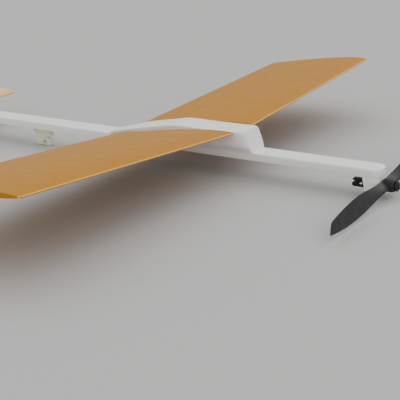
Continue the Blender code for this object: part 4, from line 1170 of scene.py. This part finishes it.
def make_turned_rings():
    bush = (1.8 * MM, 1.8 * MM)
    piece("shaft_bush", ring_piece("shaft_bush", bush, BORE, 0.15 * MM), BRASS)
    washer = (3.0 * MM, 3.0 * MM)
    piece("thrust_washer", ring_piece("thrust_washer", washer, BORE, 0.1 * MM), STEEL)
    collar = (1.7 * MM, 1.53 * MM)
    piece("shaft_collar", ring_piece("shaft_collar", collar, BORE, 0.15 * MM), BLACK)


# ---------------------------------------------------------------- stage, light and camera


def make_floor():
    """A plain pale sheet with a barely visible grain, far wider than the view."""
    m = Nodes("studio_floor", 0.9)
    m.shader.inputs["Specular IOR Level"].default_value = 0.1
    tone = m.noise(3.0, 3.0)
    m.set("Base Color", m.mix(tone, (0.50, 0.50, 0.50), (0.515, 0.515, 0.515)))
    shape = bmesh.new()
    bmesh.ops.create_grid(shape, x_segments=8, y_segments=8, size=8.0)
    mesh = finish_mesh(shape)
    mesh.materials.append(m.material)
    floor = bpy.data.objects.new("studio_floor", mesh)
    bpy.context.scene.collection.objects.link(floor)
    floor.location.z = -0.2 * MM


def make_sun(name, strength, colour, spread, direction):
    light = bpy.data.lights.new(name, "SUN")
    light.energy = strength
    light.color = colour
    light.angle = math.radians(spread)
    obj = bpy.data.objects.new(name, light)
    bpy.context.scene.collection.objects.link(obj)
    obj.rotation_mode = "QUATERNION"
    obj.rotation_quaternion = Vector(direction).to_track_quat("-Z", "Y")


def make_light():
    """A soft studio: a dome that is brighter overhead, and five wide weak suns."""
    world = bpy.data.worlds.new("studio")
    world.use_nodes = True
    tree = world.node_tree
    background = tree.nodes["Background"]
    place = tree.nodes.new("ShaderNodeTexCoord")
    split = tree.nodes.new("ShaderNodeSeparateXYZ")
    tree.links.new(place.outputs["Generated"], split.inputs[0])
    ramp = tree.nodes.new("ShaderNodeValToRGB")
    ramp.color_ramp.interpolation = "EASE"
    for element, (position, colour) in zip(ramp.color_ramp.elements, (DOME_LOW, DOME_HIGH)):
        element.position = position
        element.color = colour
    tree.links.new(split.outputs["Z"], ramp.inputs["Fac"])
    tree.links.new(ramp.outputs["Color"], background.inputs["Color"])
    background.inputs["Strength"].default_value = DOME_STRENGTH
    bpy.context.scene.world = world
    for sun in SUNS:
        make_sun(*sun)


def make_camera():
    data = bpy.data.cameras.new("camera")
    data.lens = CAMERA_LENS
    data.sensor_width = CAMERA_SENSOR
    data.clip_start = 0.01
    data.clip_end = 100.0
    camera = bpy.data.objects.new("camera", data)
    bpy.context.scene.collection.objects.link(camera)
    camera.location = CAMERA_PLACE
    camera.rotation_mode = "QUATERNION"
    camera.rotation_quaternion = CAMERA_AIM.to_track_quat("-Z", "Y")
    bpy.context.scene.camera = camera


def build():
    make_camera()
    make_light()
    make_floor()
    make_boom()
    make_nose_block()
    make_rear_bracket()
    make_saddle()
    make_saddle_base()
    for node in SCREW_NODES:
        make_screw(node)
    for node, line in zip(("front_joiner_rod", "rear_joiner_rod"), rod_lines()):
        make_joiner_rod(node, line)
    for word, side in (("port", 1), ("starboard", -1)):
        make_wing(word + "_wing", side)
        make_root_rib(word + "_root_rib", side)
    make_tail_mount()
    make_tailplane()
    make_tail_cap()
    make_fin()
    make_rudder_tab()
    make_propeller()
    make_clutch()
    make_shaft()
    make_hook()
    make_turned_rings()


build()
